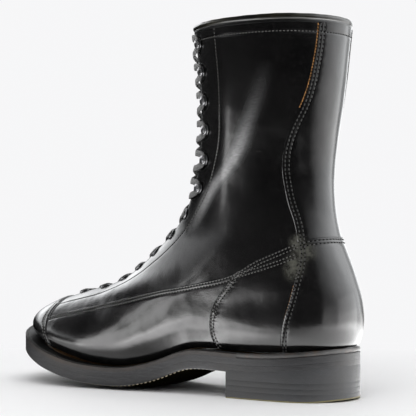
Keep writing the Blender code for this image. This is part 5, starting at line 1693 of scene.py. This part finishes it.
def floor_material():
    m = Material("studio_floor")
    tone = m.noise(m.coords(), 3, detail=2)
    base = m.mix(tone, (.885, .885, .893), (.905, .905, .913))
    m.finish({"Roughness": .75, "Specular IOR Level": .2, "Base Color": base})
    ray = m.add("LightPath").outputs
    position = m.add("NewGeometry").outputs["Position"]
    # far from the boot the table runs into the backdrop without a horizon
    backdrop = m.add("Emission", {"Color": BACKDROP}).outputs[0]
    away = m.minus(1.0, m.near((0, -.10, FLOOR_Z), .20, .42))
    table = m.mix_shader(m.times(away, ray["Is Camera Ray"]), m.bsdf.outputs[0], backdrop)
    shine = m.add("Emission", {"Strength": table_glow(m, position)}).outputs[0]
    m.put(m.mix_shader(ray["Is Glossy Ray"], table, shine),
          m.tree.nodes["Material Output"].inputs["Surface"])
    return m.data


floor_mesh = bpy.data.meshes.new("floor")
floor_mesh.from_pydata([(x * FLOOR_HALF, y * FLOOR_HALF, FLOOR_Z)
                        for x, y in ((-1, -1), (1, -1), (1, 1), (-1, 1))], [], [(0, 1, 2, 3)])
floor = bpy.data.objects.new("floor", floor_mesh)
scene.collection.objects.link(floor)
floor_mesh.materials.append(floor_material())

# ------------------------------------------------------------------ world
# rear panel for rising rays: azimuth, strength
PANEL_HIGH = [(-108, 0), (-98, .35), (-92, .5), (-84, .75), (-74, .95), (-65, 1.6),
              (-57, 1.75), (-49, 2.3), (-36, 2.5), (-28, 2.9), (-14, 3.6), (3, 2.9), (13, 2.0),
              (20, .6), (24, .3), (33, .3), (45, 2.1), (58, 1.2), (70, 0)]
# side boxes by azimuth: elevation of their middle, scale of their narrowness, strength
BOX_CENTRE = [(-110, 13), (-70, 14), (-55, 15), (-46, 17), (-38, 22), (-25, 24), (-3, 24),
              (15, 20.5), (30, 16.5), (42, 11), (50, 7), (60, 2)]
BOX_NARROW = [(-110, .5), (-62, .55), (-45, .7), (-25, .85), (-5, 1.5), (60, 1.7)]
BOX_STRENGTH = [(-112, 0), (-98, 1.0), (-70, 1.2), (-53, 1.3), (-46, 2.6), (-38, 3.6),
                (-26, 3.2), (-15, 2.4), (5, 1.9), (18, 1.2), (28, .75), (38, .25), (46, .0)]
BOX_PROFILE = [(-10, 0), (-6.5, .25), (-3, 1), (2.5, 1), (5.5, .25), (9, 0)]


def rear_panel(m, x, y, elevation):
    """Its near edge stands further back for level rays than for rising ones."""
    around = m.azimuth(x, y, REAR_PANEL_AZIMUTH)
    low_panel = m.window(around, PANEL_LOW, top=3.2)
    high_panel = m.window(around, PANEL_HIGH, top=4)
    rise = m.window(elevation, [(-90, 0), (5, 0), (26, 1), (90, 1)])
    panel = m.plus(m.times(high_panel, rise), m.times(low_panel, m.minus(1.0, rise)))
    return m.times(panel, m.window(elevation, [(-60, .6), (-30, 1), (40, 1), (62, .25),
                                               (75, 0)]))


def side_boxes(m, x, y, elevation):
    """A row of soft boxes, high beyond the toe and sinking towards the ankle."""
    around = m.azimuth(x, y, -80)
    centre = m.window(around, BOX_CENTRE, top=30)
    off = m.times(m.minus(elevation, centre), m.window(around, BOX_NARROW, top=2))
    return m.times(m.window(off, BOX_PROFILE), m.window(around, BOX_STRENGTH, top=4.2))


world = bpy.data.worlds.new("studio")
scene.world = world
world.use_nodes = True
sky = Nodes(world.node_tree)
camera_view = world.node_tree.nodes["Background"]
sky.put(BACKDROP, camera_view.inputs["Color"])
direction = sky.add("TexCoord").outputs["Generated"]
x, y, z = sky.add("SeparateXYZ", {0: direction}).outputs
elevation = sky.times(sky.maths("ARCSINE", z), DEGREES)
panel_light = rear_panel(sky, x, y, elevation)
total = sky.plus(panel_light, side_boxes(sky, x, y, elevation))
total = sky.plus(total, .03)
mirrored = sky.add("Background", {"Color": (.97, .985, 1.0), "Strength": total}).outputs[0]
diffuse = sky.add("Background", {"Color": (1, 1, 1), "Strength": .22}).outputs[0]
ray = sky.add("LightPath").outputs
unseen = sky.mix_shader(ray["Is Glossy Ray"], diffuse, mirrored)
sky.put(sky.mix_shader(ray["Is Camera Ray"], unseen, camera_view.outputs[0]),
        world.node_tree.nodes["World Output"].inputs["Surface"])


# ------------------------------------------------------------------ lights
def area_light(name, azimuth, elevation, distance_m, size, power, target, glossy):
    """An area light seen from target at azimuth (from +X towards +Y) and elevation."""
    around, up = radians(azimuth), radians(elevation)
    ray = Vector((cos(around) * cos(up), sin(around) * cos(up), sin(up)))
    light = bpy.data.lights.new(name, "AREA")
    light.shape = "RECTANGLE"
    light.size, light.size_y = size
    light.energy = power
    obj = bpy.data.objects.new(name, light)
    scene.collection.objects.link(obj)
    obj.location = Vector(target) + ray * distance_m
    obj.rotation_euler = ray.to_track_quat("Z", "Y").to_euler()
    obj.visible_camera = False
    obj.visible_glossy = glossy
    return obj


# name, azimuth, elevation (degrees), distance, size (m), power (W); unseen in the polish
SOFT_BOXES = (
    ("key_top", 60, 74, 1.4, (1.6, 1.2), 14.5),
    ("side_card", 20, 30, 1.6, (.9, .9), 7),
    ("front_card", -70, 25, 1.6, (.9, .9), 4),
    ("back_card", 216, 40, 1.8, (1.8, 1.2), 10),
)
# cards seen only in the polish: name, centre, size (m), radiance, azimuth they stand at
CARDS = (
    ("side_box", (.27, -.312, .066), (.15, .112), 3.9, -30),
    ("side_low", (.27, -.212, .017), (.045, .032), 4.0, -28),
    ("side_top", (.2575, -.3337, .1475), (.05, .055), 3.5, -30),
    ("toe_card", (.24, -.46, .030), (.20, .055), 2.2, -62),
    ("rear_low_a", (.115, .225, .040), (.19, .080), 1.1, 72),
    ("rear_mid_a", (.115, .225, .055), (.19, .110), .7, 72),
    ("rear_low_b", (-.075, .205, .038), (.24, .076), 2.2, 112),
    ("rear_mid_b", (-.075, .205, .050), (.24, .100), 1.3, 112),
    ("rear_top_b", (-.075, .205, .065), (.24, .130), 1.0, 112),
)
for soft_box in SOFT_BOXES:
    area_light(*soft_box, target=(0, -.08, .12), glossy=False)
for name, centre, size, radiance, azimuth in CARDS:
    card = area_light(name, azimuth, 0, 0, size, radiance * pi * size[0] * size[1],
                      target=centre, glossy=True)
    card.visible_diffuse = False
    card.visible_transmission = False

# ------------------------------------------------------------------ camera
CAMERA_AZIMUTH = radians(36)
camera = bpy.data.cameras.new("camera")
camera_object = bpy.data.objects.new("camera", camera)
scene.collection.objects.link(camera_object)
backward = Vector((cos(CAMERA_AZIMUTH), sin(CAMERA_AZIMUTH), 0))
rightward = Vector((-sin(CAMERA_AZIMUTH), cos(CAMERA_AZIMUTH), 0))
camera_object.location = backward * 1.0 + rightward * -.0698 + Vector((0, 0, .118))
camera_object.rotation_euler = backward.to_track_quat("Z", "Y").to_euler()
camera.sensor_width = 36
camera.lens = 120.2
camera.shift_y = .060
camera.clip_start = .01
scene.camera = camera_object
